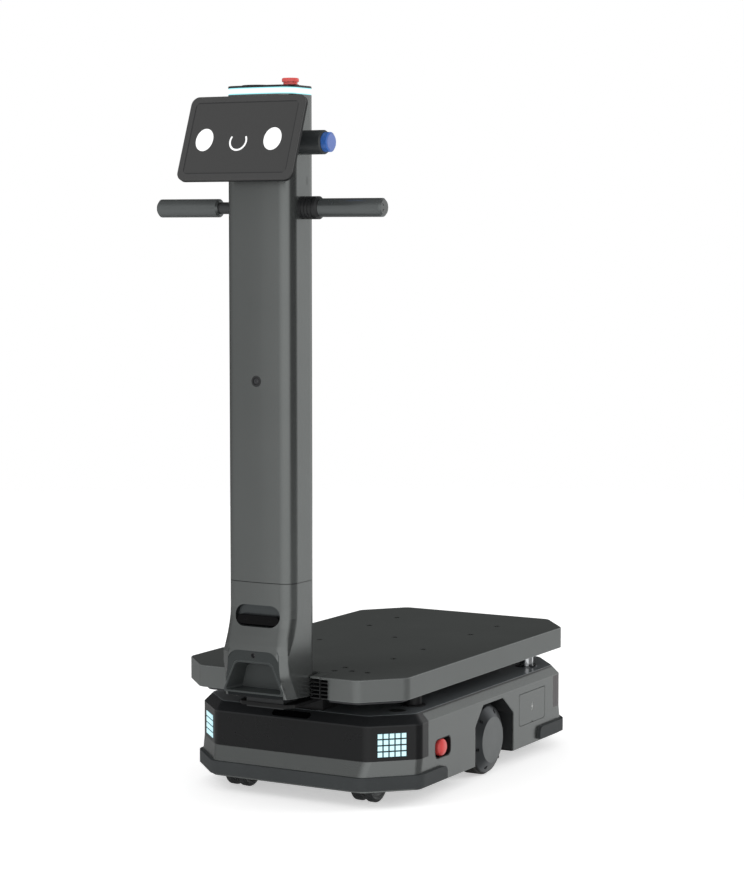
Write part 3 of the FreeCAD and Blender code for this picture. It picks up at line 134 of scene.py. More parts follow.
class Graph:
    """Adds nodes to one node tree."""

    def __init__(self, tree: bpy.types.NodeTree) -> None:
        """Clears the tree and keeps it."""
        tree.nodes.clear()
        self.tree = tree

    def node(self, kind: str, settings: Optional[dict[str, Any]] = None,
             inputs: Optional[dict[Union[str, int], Any]] = None, output: Union[str, int] = 0) -> Signal:
        """Adds one node.

        Args:
            kind: The node's type.
            settings: Properties set first; "stops" holds a ramp's (place, colour) pairs.
            inputs: Values or signals by socket name or number.
            output: Which output to return.

        Returns:
            The chosen output.
        """
        made = self.tree.nodes.new(kind)
        for key, value in (settings or {}).items():
            if key == "stops":
                self._set_stops(made.color_ramp, value)
            else:
                setattr(made, key, value)
        for key, value in (inputs or {}).items():
            if isinstance(value, Signal):
                self.tree.links.new(value.socket, made.inputs[key])
            else:
                made.inputs[key].default_value = value
        return Signal(self, made.outputs[output]) if len(made.outputs) else Signal(self, None)

    @staticmethod
    def _set_stops(ramp: bpy.types.ColorRamp, stops: Sequence[tuple[float, Colour]]) -> None:
        """Gives a colour ramp its stops.

        Args:
            ramp: The colour ramp.
            stops: (place, colour) pairs.
        """
        while len(ramp.elements) < len(stops):
            ramp.elements.new(1.0)
        for element, (place, colour) in zip(ramp.elements, stops):
            element.position = place
            element.color = (*colour, 1.0)

    def calculate(self, operation: str, first: Value, second: Value = 0.0) -> Signal:
        """Adds a Math node and returns its value."""
        return self.node("ShaderNodeMath", {"operation": operation}, {0: first, 1: second})

    def coords(self, centre: Optional[Sequence[float]] = None,
               turn: Sequence[float] = (0.0, 0.0, 0.0)) -> Signal:
        """Gives object coordinates, if asked in a frame of their own.

        Args:
            centre: The frame's origin, in metres.
            turn: The frame's turn, as Euler angles.

        Returns:
            The coordinates in metres.
        """
        place = self.node("ShaderNodeTexCoord", output="Object")
        if centre is None:
            return place
        return self.node("ShaderNodeMapping", {"vector_type": "TEXTURE"},
                         {"Vector": place, "Location": tuple(centre), "Rotation": tuple(turn)})

    def parts(self, vector: Signal) -> tuple[Signal, Signal, Signal]:
        """Splits a vector into its three parts.

        Args:
            vector: The vector.

        Returns:
            Its X, Y and Z.
        """
        split = self.node("ShaderNodeSeparateXYZ", inputs={0: vector})
        outputs = split.socket.node.outputs
        return Signal(self, outputs[0]), Signal(self, outputs[1]), Signal(self, outputs[2])

    def vector(self, x: Value, y: Value, z: Value) -> Signal:
        """Joins three values into a vector."""
        return self.node("ShaderNodeCombineXYZ", inputs={0: x, 1: y, 2: z})

    def noise(self, place: Signal, scale: float, detail: float = 2.0, roughness: float = 0.5) -> Signal:
        """Gives fractal noise from 0 to 1 at so many features a metre."""
        return self.node("ShaderNodeTexNoise", {"noise_dimensions": "3D"},
                         {"Vector": place, "Scale": scale, "Detail": detail, "Roughness": roughness}, "Fac")

    def ease(self, value: Value, start: float, end: float) -> Signal:
        """Rises smoothly from 0 at start to 1 at end."""
        return self.node("ShaderNodeMapRange", {"interpolation_type": "SMOOTHSTEP", "clamp": True},
                         {"Value": value, "From Min": start, "From Max": end, "To Min": 0.0, "To Max": 1.0})

    def band(self, value: Signal, middle: float, half: float, soft: float) -> Signal:
        """Is 1 within half a width of the middle and fades over the soft edge."""
        return 1.0 - self.ease(abs(value - middle), half, half + soft)

    def mix(self, factor: Value, first: Paint, second: Paint) -> Signal:
        """Mixes two colours.

        Args:
            factor: 0 gives the first and 1 the second.
            first: A colour or colour signal.
            second: A colour or colour signal.

        Returns:
            The mixed colour.
        """
        sides = {6: first, 7: second}
        inputs = {key: side if isinstance(side, Signal) else (*side, 1.0) for key, side in sides.items()}
        return self.node("ShaderNodeMix", {"data_type": "RGBA", "clamp_factor": True},
                         {0: factor, **inputs}, 2)

    def shade(self, factor: Value, colour: Colour, low: float, high: float) -> Signal:
        """Mixes two tones of a colour: the low one at factor 0 and the high one at 1."""
        return self.mix(factor, scaled(colour, low), scaled(colour, high))

    def length(self, first: Signal, second: Signal) -> Signal:
        """Gives how far two coordinates lie from 0."""
        return self.calculate("SQRT", first * first + second * second)

    def rays(self, *kinds: str) -> list[Signal]:
        """Gives a signal for each kind of ray, which is 1 for such rays."""
        outputs = self.node("ShaderNodeLightPath").socket.node.outputs
        return [Signal(self, outputs[f"Is {kind} Ray"]) for kind in kinds]

    def bump(self, height: Value, strength: float, depth: float, under: Optional[Signal] = None) -> Signal:
        """Turns a height from 0 to 1 into a normal.

        Args:
            height: The height signal.
            strength: How much of the bump shows.
            depth: The height of 1, in metres.
            under: A normal that this bump is added to.

        Returns:
            The normal.
        """
        inputs: dict[Union[str, int], Any] = {"Height": height, "Strength": strength, "Distance": depth}
        if under is not None:
            inputs["Normal"] = under
        return self.node("ShaderNodeBump", inputs=inputs)

    def edges(self, radius: float) -> Signal:
        """Is near 1 along convex and concave edges within the radius.

        Args:
            radius: Width of the zone, in metres.

        Returns:
            The mask.
        """
        rounded = self.node("ShaderNodeBevel", {"samples": 4}, {"Radius": radius})
        plain = self.node("ShaderNodeNewGeometry", output="Normal")
        dot = self.node("ShaderNodeVectorMath", {"operation": "DOT_PRODUCT"}, {0: rounded, 1: plain},
                        "Value")
        return self.ease(1.0 - dot, 0.01, 0.12)

    def rounded(self, radius: float) -> Signal:
        """Gives a normal that turns softly round upright edges.

        Args:
            radius: Width of the rounding, in metres.

        Returns:
            The normal.
        """
        soft_x, soft_y, _ = self.parts(self.node("ShaderNodeBevel", {"samples": 6}, {"Radius": radius}))
        up = self.parts(self.node("ShaderNodeNewGeometry", output="Normal"))[2]
        leaning = self.vector(soft_x, soft_y, up)
        return self.node("ShaderNodeVectorMath", {"operation": "NORMALIZE"}, {0: leaning}, "Vector")

    def surface(self, **inputs: Any) -> None:
        """Ends the tree in a Principled BSDF; spaces in socket names are written as underscores.

        Args:
            inputs: Values or signals by socket name.
        """
        sockets = {key.replace("_", " "): value for key, value in inputs.items()}
        for key, value in sockets.items():
            if isinstance(value, tuple) and len(value) == 3:
                sockets[key] = (*value, 1.0)
        shader = self.node("ShaderNodeBsdfPrincipled", inputs=sockets)
        self.node("ShaderNodeOutputMaterial", inputs={"Surface": shader})


# ---------------------------------------------------------------- finishes
@dataclass(frozen=True)
class Finish:
    """A named finish that makes one material."""

    name: str

    def build(self, graph: Graph) -> None:
        """Adds the finish's nodes."""
        raise NotImplementedError

    def material(self) -> bpy.types.Material:
        """Makes the material once and returns it.

        Returns:
            The material.
        """
        made = bpy.data.materials.get(self.name)
        if made is None:
            made = bpy.data.materials.new(self.name)
            made.use_nodes = True
            self.build(Graph(made.node_tree))
        return made


@dataclass(frozen=True)
class Field:
    """Part of a surface that is painted in a tone of its own, with round corners in the front view; the mast
    uses such parts for painted shade in its slot and sill and for a darker face round its arch.
    """

    colour: Colour
    low: tuple[float, float, float]
    high: tuple[float, float, float]
    corner_r: float = 0.5 * MM

    def mask(self, graph: Graph, place: Signal) -> Signal:
        """Is 1 inside the field.

        Args:
            graph: The graph to add to.
            place: Object coordinates.

        Returns:
            The mask.
        """
        x, y, z = graph.parts(place)
        middles = [(low + high) / 2 for low, high in zip(self.low, self.high)]
        halves = [(high - low) / 2 for low, high in zip(self.low, self.high)]
        out_x, out_z = (graph.calculate("MAXIMUM", abs(along - middles[k]) - halves[k] + self.corner_r, 0.0)
                        for along, k in ((x, 0), (z, 2)))
        away = graph.length(out_x, out_z)
        inside = 1.0 - graph.ease(away, self.corner_r, self.corner_r + 0.0003)
        return inside * graph.band(y, middles[1], halves[1], 0.0001)


@dataclass(frozen=True)
class PowderCoat(Finish):
    """Metallic satin paint with a fine grain, soft mottling and a tone painted on its edges: above 1 a
    painted highlight that also stands for slight polish, below 1 a dark seam.
    """

    colour: Colour
    metallic: float = 0.8
    roughness: float = 0.3
    grain: float = 0.12
    edge_share: float = 0.5
    edge_tone: float = 1.9
    edge_r: float = 1.2 * MM
    seam_z: float = -1.0
    seam_half: float = 0.5 * MM
    round_r: float = 0.0
    fields: tuple[Field, ...] = ()

    def build(self, graph: Graph) -> None:
        """Adds the paint's nodes.

        Args:
            graph: The graph to add to.
        """
        place = graph.coords()
        mottle = graph.noise(place, 7.0, 3.0)
        grain = graph.noise(place, 1500.0, 2.0)
        wipe = graph.noise(place, 22.0, 4.0, 0.6)
        tone = graph.shade(mottle, self.colour, 0.94, 1.06)
        flecks = graph.ease(graph.noise(place, 2600.0, 1.0), 0.62, 0.72)
        tone = graph.mix(flecks * 0.12, tone, scaled(self.colour, 2.2))
        # painted highlight: edges are mixed towards edge_tone times the colour, lighter where edge_tone is
        # above 1 (partly polish) and a dark seam where it is below 1
        edges = graph.edges(self.edge_r) * self.edge_share
        tone = graph.mix(edges, tone, scaled(self.colour, self.edge_tone))
        rough = self.roughness + (wipe - 0.5) * 0.07 + (grain - 0.5) * 0.05
        # each field paints a tone of its own, such as painted shade in a recess
        for field in self.fields:
            tone = graph.mix(field.mask(graph, place), tone, field.colour)
        if self.seam_z > 0:
            seam = graph.band(graph.parts(place)[2], self.seam_z, self.seam_half, 0.0003)
            tone = graph.mix(seam, tone, scaled(self.colour, 0.12))
        under = graph.rounded(self.round_r) if self.round_r > 0 else None
        graph.surface(Base_Color=tone, Metallic=self.metallic, Roughness=rough,
                      Normal=graph.bump(grain, self.grain, 0.0001, under))


@dataclass(frozen=True)
class SheetTop(Finish):
    """Painted sheet whose upper face carries a fine non-slip texture and whose rim carries a painted
    highlight that also stands for polish.
    """

    side: Colour
    top: Colour
    top_z: float
    metallic: float = 0.5
    round_r: float = 8 * MM

    def build(self, graph: Graph) -> None:
        """Adds the nodes of the sides and of the upper face.

        Args:
            graph: The graph to add to.
        """
        place = graph.coords()
        height = graph.parts(place)[2]
        upper = graph.ease(height, self.top_z - 0.0006, self.top_z - 0.0002)
        mottle = graph.noise(place, 6.0, 3.0)
        grain = graph.noise(place, 1300.0, 2.0)
        pebbles = graph.node("ShaderNodeTexVoronoi", {"feature": "SMOOTH_F1"},
                             {"Vector": place, "Scale": 620.0, "Smoothness": 0.6}, "Distance")
        scuffs = graph.ease(graph.noise(place, 16.0, 5.0, 0.7), 0.6, 0.78)
        side = graph.shade(mottle, self.side, 0.95, 1.05)
        # painted highlight: the sides' edges are painted much lighter
        side = graph.mix(graph.edges(0.0016) * 0.8, side, scaled(self.side, 2.3))
        top = graph.shade(mottle, self.top, 0.93, 1.07)
        top = graph.mix(scuffs * 0.35, top, scaled(self.top, 1.25))
        rough = 0.3 + upper * 0.3 + (graph.noise(place, 30.0, 4.0) - 0.5) * 0.08
        relief = graph.mix(upper, graph.vector(grain, grain, grain), graph.vector(pebbles, pebbles, pebbles))
        graph.surface(Base_Color=graph.mix(upper, side, top), Metallic=self.metallic * (1.0 - upper),
                      Roughness=rough, Specular_IOR_Level=0.0,
                      Normal=graph.bump(relief, 0.22, 0.0002, graph.rounded(self.round_r)))


@dataclass(frozen=True)
class PianoBlack(Finish):
    """Clear-coated black plastic with faint orange peel, dust and wiping marks; above a given height it may
    be painted lighter as painted light and reflection, and its edges may carry a painted highlight.
    """

    colour: Colour
    roughness: float = 0.16
    coat: float = 0.2
    specular: float = 0.3
    dust: float = 0.35
    lip: float = 0.0
    lit_slope_z: float = 0.0
    lit_slope_tone: float = 1.0

    def build(self, graph: Graph) -> None:
        """Adds the nodes of the gloss.

        Args:
            graph: The graph to add to.
        """
        place = graph.coords()
        peel = graph.noise(place, 140.0, 1.0)
        haze = graph.noise(place, 9.0, 4.0, 0.6)
        dust = graph.ease(graph.noise(place, 900.0, 3.0, 0.7), 0.62, 0.75)
        tone = graph.shade(haze, self.colour, 0.85, 1.15)
        tone = graph.mix(dust * self.dust * 0.2, tone, scaled(self.colour, 3.0))
        # painted light: above the given height the colour is made lighter, standing in for the light and
        # reflection that the upper faces catch in shade
        if self.lit_slope_z > 0:
            lit_slope = graph.ease(graph.parts(place)[2], self.lit_slope_z, self.lit_slope_z + 1 * MM)
            tone = graph.mix(lit_slope, tone, scaled(self.colour, self.lit_slope_tone))
        # painted highlight: edges are painted light grey
        if self.lip > 0:
            tone = graph.mix(graph.edges(0.0014) * self.lip, tone, linear(170, 172, 174))
        rough = self.roughness + haze * 0.1 + dust * self.dust * 0.15
        graph.surface(Base_Color=tone, Roughness=rough, Coat_Weight=self.coat, Coat_Roughness=0.08,
                      Specular_IOR_Level=self.specular, Normal=graph.bump(peel, 0.05, 0.0002))


@dataclass(frozen=True)
class SmokedLens(Finish):
    """Smoked lamp cover with fine upright prisms inside."""

    colour: Colour
    pitch: float = 4 * MM

    def build(self, graph: Graph) -> None:
        """Adds the nodes of the smoked plastic.

        Args:
            graph: The graph to add to.
        """
        place = graph.coords()
        x, y, _ = graph.parts(place)
        rib = graph.calculate("PINGPONG", (x + y) / self.pitch, 1.0)
        haze = graph.noise(place, 12.0, 3.0)
        tone = graph.shade(rib, self.colour, 0.72, 1.12)
        graph.surface(Base_Color=tone, Roughness=0.2 + haze * 0.12, Coat_Weight=0.2, Coat_Roughness=0.06,
                      Specular_IOR_Level=0.3, Normal=graph.bump(rib, 0.12, 0.0004))


@dataclass(frozen=True)
class Rubber(Finish):
    """Moulded rubber or elastomer with a fine grain and pale scuffs."""

    colour: Colour
    roughness: float = 0.62
    scuff: float = 0.3
    worn_below: float = 0.0

    def build(self, graph: Graph) -> None:
        """Adds the nodes of the rubber.

        Args:
            graph: The graph to add to.
        """
        place = graph.coords()
        grain = graph.noise(place, 1000.0, 3.0)
        mottle = graph.noise(place, 18.0, 4.0, 0.6)
        scuffs = graph.ease(graph.noise(place, 60.0, 5.0, 0.75), 0.58, 0.76)
        tone = graph.shade(mottle, self.colour, 0.86, 1.14)
        tone = graph.mix(scuffs * self.scuff, tone, scaled(self.colour, 1.9))
        if self.worn_below > 0:
            height = graph.parts(place)[2]
            low = (1.0 - graph.ease(height, 0.0, self.worn_below)) * mottle
            tone = graph.mix(low * 0.5, tone, linear(104, 100, 94))
        graph.surface(Base_Color=tone, Roughness=self.roughness + (mottle - 0.5) * 0.14,
                      Specular_IOR_Level=0.25, Normal=graph.bump(grain, 0.3, 0.00015))


@dataclass(frozen=True)
class Moulded(Finish):
    """Injection-moulded plastic with a fine texture, a painted highlight along its edges and, if asked,
    another colour past one or both ends.
    """

    colour: Colour
    roughness: float = 0.42
    texture: float = 0.18
    coat: float = 0.0
    metallic: float = 0.0
    accent: Optional[Colour] = None
    accent_axis: int = 0
    accent_from: float = 0.0
    accent_both: bool = False

    def build(self, graph: Graph) -> None:
        """Adds the nodes of the plastic.

        Args:
            graph: The graph to add to.
        """
        place = graph.coords()
        grain = graph.noise(place, 1700.0, 2.0)
        flow = graph.noise(place, 14.0, 3.0)
        tone = graph.shade(flow, self.colour, 0.92, 1.08)
        if self.accent is not None:
            along = graph.parts(place)[self.accent_axis]
            if self.accent_both:
                along = abs(along)
            past = graph.ease(along, self.accent_from, self.accent_from + 0.0002)
            tone = graph.mix(past, tone, graph.shade(flow, self.accent, 0.95, 1.05))
        # painted highlight: edges are painted lighter
        tone = graph.mix(graph.edges(0.0007) * 0.25, tone, scaled(self.colour, 1.8))
        graph.surface(Base_Color=tone, Metallic=self.metallic, Roughness=self.roughness + (flow - 0.5) * 0.1,
                      Coat_Weight=self.coat, Normal=graph.bump(grain, self.texture, 0.0001))


class Lay(Enum):
    """Tool marks on a metal, as features a metre along X, Y and Z."""

    TURNED = (8.0, 8.0, 2200.0)
    DRAWN = (1400.0, 1400.0, 25.0)
    CAST = (60.0, 60.0, 60.0)


@dataclass(frozen=True)
class Metal(Finish):
    """Bare metal with marks of turning, drawing or casting and a little grime; in front of a given depth it
    is painted dark and dull as painted shade.
    """

    colour: Colour
    roughness: float = 0.3
    lay: Lay = Lay.CAST
    grime: float = 0.25
    shaded_front_y: Optional[float] = None

    def build(self, graph: Graph) -> None:
        """Adds the nodes of the metal.

        Args:
            graph: The graph to add to.
        """
        place = graph.coords()
        marks = graph.node("ShaderNodeVectorMath", {"operation": "MULTIPLY"},
                           {0: place, 1: self.lay.value})
        lines = graph.noise(marks, 1.0, 3.0)
        stain = graph.ease(graph.noise(place, 28.0, 5.0, 0.7), 0.48, 0.75)
        tone = graph.shade(lines, self.colour, 0.88, 1.1)
        tone = graph.mix(stain * self.grime, tone, scaled(self.colour, 0.35))
        rough = self.roughness + (lines - 0.5) * 0.12 + stain * self.grime * 0.3
        unshaded: Value = 1.0
        # painted shade: in front of the given depth the metal is painted dark and dull, for the shade under
        # the platform
        if self.shaded_front_y is not None:
            unshaded = graph.ease(graph.parts(place)[1], self.shaded_front_y, self.shaded_front_y + 1 * MM)
            tone = graph.mix(unshaded, linear(30, 31, 32), tone)
            rough = rough + (1.0 - unshaded) * 0.4
        graph.surface(Base_Color=tone, Metallic=unshaded, Roughness=rough,
                      Normal=graph.bump(lines, 0.08, 0.00005))


@dataclass(frozen=True)
class LampGlow(Finish):
    """Lit diffuser: bright in the middle, with a blue-green tint towards its edges."""

    glow: Colour
    edge: Colour
    edge_width: float = 1.2 * MM
    low_z: float = 0.0
    high_z: float = 0.0

    def build(self, graph: Graph) -> None:
        """Adds the nodes of the diffuser.

        Args:
            graph: The graph to add to.
        """
        place = graph.coords()
        if self.high_z > 0:
            half = (self.high_z - self.low_z) / 2
            away = abs(graph.parts(place)[2] - (self.low_z + self.high_z) / 2)
            rim = graph.ease(away, half * 0.45, half * 0.95)
        else:
            rim = graph.edges(self.edge_width)
        cloud = graph.noise(place, 240.0, 2.0)
        tone = graph.mix(rim, graph.shade(cloud, self.glow, 0.96, 1.0), self.edge)
        graph.surface(Base_Color=scaled(self.glow, 0.2), Roughness=0.35, Emission_Color=tone,
                      Emission_Strength=1.0, Normal=graph.bump(cloud, 0.1, 0.0002))


@dataclass(frozen=True)
class HubDisc(Finish):
    """Hub cover with painted light and shade: a darker cone round a lighter flat, with fine turning rings."""

    shaded_cone: Colour
    lit_flat: Colour
    centre: tuple[float, float, float]
    flat_r: float
    rim_r: float

    def build(self, graph: Graph) -> None:
        """Adds the nodes of the hub cover.

        Args:
            graph: The graph to add to.
        """
        place = graph.coords(self.centre)
        _, y, z = graph.parts(place)
        radius = graph.length(y, z)
        on_lit_flat = 1.0 - graph.ease(radius, self.flat_r - 0.0012, self.flat_r)
        lip = graph.ease(radius, self.rim_r - 0.0022, self.rim_r - 0.0012)
        rings = graph.node("ShaderNodeTexNoise", {"noise_dimensions": "1D"},
                           {"W": radius * 1500.0, "Scale": 1.0, "Detail": 2.0}, "Fac")
        mottle = graph.noise(graph.coords(), 30.0, 4.0, 0.6)
        # painted light and shade: the flat is painted lighter and the cone round it darker
        tone = graph.mix(on_lit_flat, self.shaded_cone, self.lit_flat)
        tone = graph.mix(lip * 0.6, tone, scaled(self.shaded_cone, 0.5))
        tone = graph.mix((mottle - 0.4) * 0.5, tone, scaled(self.shaded_cone, 0.8))
        graph.surface(Base_Color=tone, Metallic=0.8, Roughness=0.28 + rings * 0.1,
                      Normal=graph.bump(rings, 0.05, 0.00005))


@dataclass(frozen=True)
class CasterTread(Finish):
    """Caster wheel: dark polyurethane tread on a grey nylon core."""

    tread: Colour
    core: Colour
    centre: tuple[float, float, float]
    turn: float
    core_r: float

    def build(self, graph: Graph) -> None:
        """Adds the nodes of the caster wheel.

        Args:
            graph: The graph to add to.
        """
        place = graph.coords(self.centre, (0.0, 0.0, self.turn))
        _, y, z = graph.parts(place)
        radius = graph.length(y, z)
        outside = graph.ease(radius, self.core_r - 0.0004, self.core_r + 0.0004)
        grain = graph.noise(place, 900.0, 3.0)
        dust = graph.ease(graph.noise(place, 90.0, 4.0, 0.7), 0.5, 0.75)
        core = graph.mix(dust * 0.4, self.core, scaled(self.core, 0.7))
        tread = graph.mix(dust * 0.4, self.tread, scaled(self.tread, 1.7))
        graph.surface(Base_Color=graph.mix(outside, core, tread), Roughness=0.45 + outside * 0.15,
                      Normal=graph.bump(grain, 0.2, 0.0001))


@dataclass(frozen=True)
class ScreenGlass(Finish):
    """Cover glass over a faintly lit display, with a border and finger marks."""

    colour: Colour
    border: Colour
    centre: tuple[float, float, float]
    turn: float
    half_w: float
    half_h: float
    dot_pitch: float = 0.5 * MM

    def build(self, graph: Graph) -> None:
        """Adds the nodes of the screen.

        Args:
            graph: The graph to add to.
        """
        place = graph.coords(self.centre, (self.turn, 0.0, 0.0))
        x, y, _ = graph.parts(place)
        lit = graph.band(x, 0.0, self.half_w, 0.0006) * graph.band(y, 0.0, self.half_h, 0.0006)
        across, up = (graph.calculate("PINGPONG", along / self.dot_pitch, 1.0) for along in (x, y))
        smear = graph.ease(graph.noise(graph.coords(), 34.0, 4.0, 0.65), 0.5, 0.8)
        dots = graph.mix(across * up * 0.3, self.colour, scaled(self.colour, 0.8))
        tone = graph.mix(lit, self.border, dots)
        glow = graph.mix(lit, BLACK, scaled(self.colour, 0.35))
        graph.surface(Base_Color=tone, Roughness=0.3 + smear * 0.14, Specular_IOR_Level=0.25,
                      Emission_Color=glow, Emission_Strength=1.0)


@dataclass(frozen=True)
class CaseShell(Finish):
    """Display case: a grey front frame on a black back shell, with a painted highlight along the frame's
    edges.
    """

    front: Colour
    back: Colour
    centre: tuple[float, float, float]
    turn: float
    front_t: float

    def build(self, graph: Graph) -> None:
        """Adds the nodes of the case.

        Args:
            graph: The graph to add to.
        """
        place = graph.coords(self.centre, (self.turn, 0.0, 0.0))
        depth = graph.parts(place)[2]
        grain = graph.noise(graph.coords(), 1600.0, 2.0)
        flow = graph.noise(graph.coords(), 12.0, 3.0)
        on_front = graph.ease(depth, -self.front_t, -self.front_t + 0.0005)
        front = graph.shade(flow, self.front, 0.95, 1.05)
        # painted highlight: the frame's edges are painted lighter
        front = graph.mix(graph.edges(0.0009) * 0.25, front, scaled(self.front, 1.7))
        graph.surface(Base_Color=graph.mix(on_front, self.back, front), Roughness=0.42 + flow * 0.08,
                      Specular_IOR_Level=0.3, Normal=graph.bump(grain, 0.12, 0.0001))


@dataclass(frozen=True)
class LensGlass(Finish):
    """Dark coated lens glass that shimmers from violet to green."""

    colour: Colour

    def build(self, graph: Graph) -> None:
        """Adds the nodes of the lens.

        Args:
            graph: The graph to add to.
        """
        sheen = graph.node("ShaderNodeFresnel", inputs={"IOR": 1.6})
        speck = graph.noise(graph.coords(), 400.0, 2.0)
        tone = graph.mix(sheen, self.colour, linear(40, 60, 58))
        graph.surface(Base_Color=tone, Roughness=0.05 + speck * 0.05, Coat_Weight=1.0, Coat_Roughness=0.02)


@dataclass(frozen=True)
class StudioFloor(Finish):
    """Pale matt floor that fades out at its edge and dims in mirrors."""

    radius: float
    glow: float = 0.5
    dimming: float = 0.7

    def build(self, graph: Graph) -> None:
        """Adds the nodes of the floor.

        Args:
            graph: The graph to add to.
        """
        place = graph.coords()
        x, y, _ = graph.parts(place)
        fade = graph.ease(graph.length(x, y), self.radius * 0.45, self.radius * 0.95)
        speck = graph.noise(place, 40.0, 3.0)
        pale = graph.mix(speck, (0.9, 0.9, 0.9), (0.94, 0.94, 0.94))
        matt = graph.node("ShaderNodeBsdfDiffuse", inputs={"Color": pale})
        seen, mirrored = graph.rays("Camera", "Glossy")
        lift = graph.node("ShaderNodeEmission", inputs={"Color": (*WHITE, 1.0), "Strength": seen * self.glow})
        lit = graph.node("ShaderNodeAddShader", inputs={0: matt, 1: lift})
        clear = graph.node("ShaderNodeBsdfTransparent")
        share = graph.calculate("MAXIMUM", fade, mirrored * self.dimming)
        shader = graph.node("ShaderNodeMixShader", inputs={0: share, 1: lit, 2: clear})
        graph.node("ShaderNodeOutputMaterial", inputs={"Surface": shader})


class Palette:
    """The robot's finishes that need no size of their own."""

    COVER = PowderCoat("satin_grey_cover", SATIN_GREY, roughness=0.25, round_r=3 * MM)
    FLAP = PowderCoat("satin_grey_flap", SATIN_GREY, roughness=0.25, edge_share=0.95,
                      edge_tone=0.25, edge_r=2 * MM)
    # painted shade: the alcove's inside is painted darker than the cover, for the shade in the recess, and
    # its edges lighter as a painted highlight
    LINER = PowderCoat("niche_painted_shade", linear(70, 74, 74), metallic=0.4, roughness=0.42, edge_share=0.6,
                       edge_tone=2.2, edge_r=1.4 * MM)
    FRAME = PowderCoat("frame_grey_paint", linear(62, 64, 66), metallic=0.2, roughness=0.5)
    CARRIER = PowderCoat("carrier_black_paint", linear(16, 17, 18), metallic=0.0, roughness=0.7)
    CORE = PowderCoat("core_grey_paint", linear(52, 54, 55), metallic=0.2, roughness=0.5)
    BAR = PowderCoat("handle_bar_paint", linear(84, 86, 87), metallic=0.7, roughness=0.34)
    # painted light: GLOSS and DECK are made lighter above a height, on the nose slope and the deck's top
    GLOSS = PianoBlack("gloss_black_cover", linear(24, 25, 26), specular=0.22, lit_slope_z=151.5 * MM,
                       lit_slope_tone=2.0)
    DECK = PianoBlack("gloss_black_deck", linear(38, 40, 41), roughness=0.2, lit_slope_z=170.9 * MM,
                      lit_slope_tone=9.0)
    # painted highlight: a faint light edge on the tray
    TRAY = PianoBlack("gloss_black_tray", linear(16, 17, 18), roughness=0.16, lip=0.05)
    SMOKED = SmokedLens("smoked_lamp_cover", linear(74, 70, 72))
    WINDOW = PianoBlack("sensor_window", linear(6, 6, 7), roughness=0.12, coat=0.0, specular=0.15,
                        dust=0.1)
    BUMPER = Rubber("bumper_rubber", linear(66, 69, 70), roughness=0.55)
    TYRE = Rubber("tyre_rubber", linear(44, 46, 47), worn_below=50 * MM)
    MOULDED = Moulded("black_moulded_plastic", linear(44, 45, 46))
    LOUVRE = Moulded("louvre_plastic", linear(20, 21, 22), roughness=0.5)
    WELL = Moulded("wheel_well_plastic", linear(40, 42, 43), roughness=0.55)
    SEAL_CAP = Moulded("cap_plastic", linear(38, 37, 38), roughness=0.35)
    STEEL = Metal("zinc_plated_steel", linear(150, 152, 154), roughness=0.34)
    BOLT = Metal("black_oxide_steel", linear(70, 72, 74), roughness=0.4, lay=Lay.TURNED)
    ALLOY = Metal("extruded_alloy", linear(172, 174, 176), roughness=0.34, lay=Lay.DRAWN)
    INSERT = Metal("insert_steel", linear(34, 34, 35), roughness=0.4, lay=Lay.TURNED)
    MARK = Moulded("mark_print", linear(186, 188, 186), roughness=0.5, texture=0.05)
    RED = Moulded("stop_button_red", linear(234, 80, 78), roughness=0.34, texture=0.08, coat=0.3)
    RED_TOP = Moulded("top_stop_red", linear(255, 100, 95), roughness=0.34, texture=0.08, coat=0.3)
    BATTERY = Moulded("battery_wrap", linear(40, 66, 98), roughness=0.4)
    FACE_LIGHT = LampGlow("screen_face_light", WHITE, (0.97, 0.99, 1.0), edge_width=0.4 * MM)
    LAMP = LampGlow("corner_lamp_light", linear(216, 246, 250), linear(96, 204, 222))
    LENS = LensGlass("lens_glass", linear(14, 12, 22))


# ---------------------------------------------------------------- shapes
def turned(profile: Outline, axis: Vector, centre: Vector, steps: int) -> bmesh.types.BMesh:
    """Spins a profile all the way round an axis.

    Args:
        profile: (place along the axis, radius) pairs.
        axis: The unit axis.
        centre: A point on the axis where the place along it is 0.
        steps: Number of steps round.

    Returns:
        The spun mesh.
    """
    shape = bmesh.new()
    side = axis.orthogonal().normalized()
    points = [shape.verts.new(centre + axis * along + side * radius) for along, radius in profile]
    lines = [shape.edges.new(pair) for pair in zip(points, points[1:])]
    bmesh.ops.spin(shape, geom=points + lines, cent=centre, axis=axis, dvec=(0.0, 0.0, 0.0),
                   angle=FULL_TURN, steps=steps, use_merge=True, use_duplicate=False)
    bmesh.ops.remove_doubles(shape, verts=shape.verts, dist=1e-6)
    bmesh.ops.recalc_face_normals(shape, faces=shape.faces)
    return shape


def thicken(shape: bmesh.types.BMesh, faces: Sequence[bmesh.types.BMFace], thickness: float) -> None:
    """Extrudes flat faces along Z and turns all faces outwards.

    Args:
        shape: The shape.
        faces: Flat faces of the shape.
        thickness: How far they rise.
    """
    raised = bmesh.ops.extrude_face_region(shape, geom=list(faces))
    top = [item for item in raised["geom"] if isinstance(item, bmesh.types.BMVert)]
    bmesh.ops.translate(shape, verts=top, vec=(0.0, 0.0, thickness))
    bmesh.ops.recalc_face_normals(shape, faces=shape.faces)


def soften(shape: bmesh.types.BMesh, edges: Sequence[bmesh.types.BMEdge], width: float) -> None:
    """Rounds the given edges."""
    bmesh.ops.bevel(shape, geom=edges, offset=width, offset_type="OFFSET", segments=2, profile=0.5,
                    affect="EDGES", material=-1, clamp_overlap=True)


def rectangle(low_x: float, high_x: float, low_y: float, high_y: float) -> Outline:
    """Gives the outline of a rectangle."""
    return [(low_x, low_y), (high_x, low_y), (high_x, high_y), (low_x, high_y)]


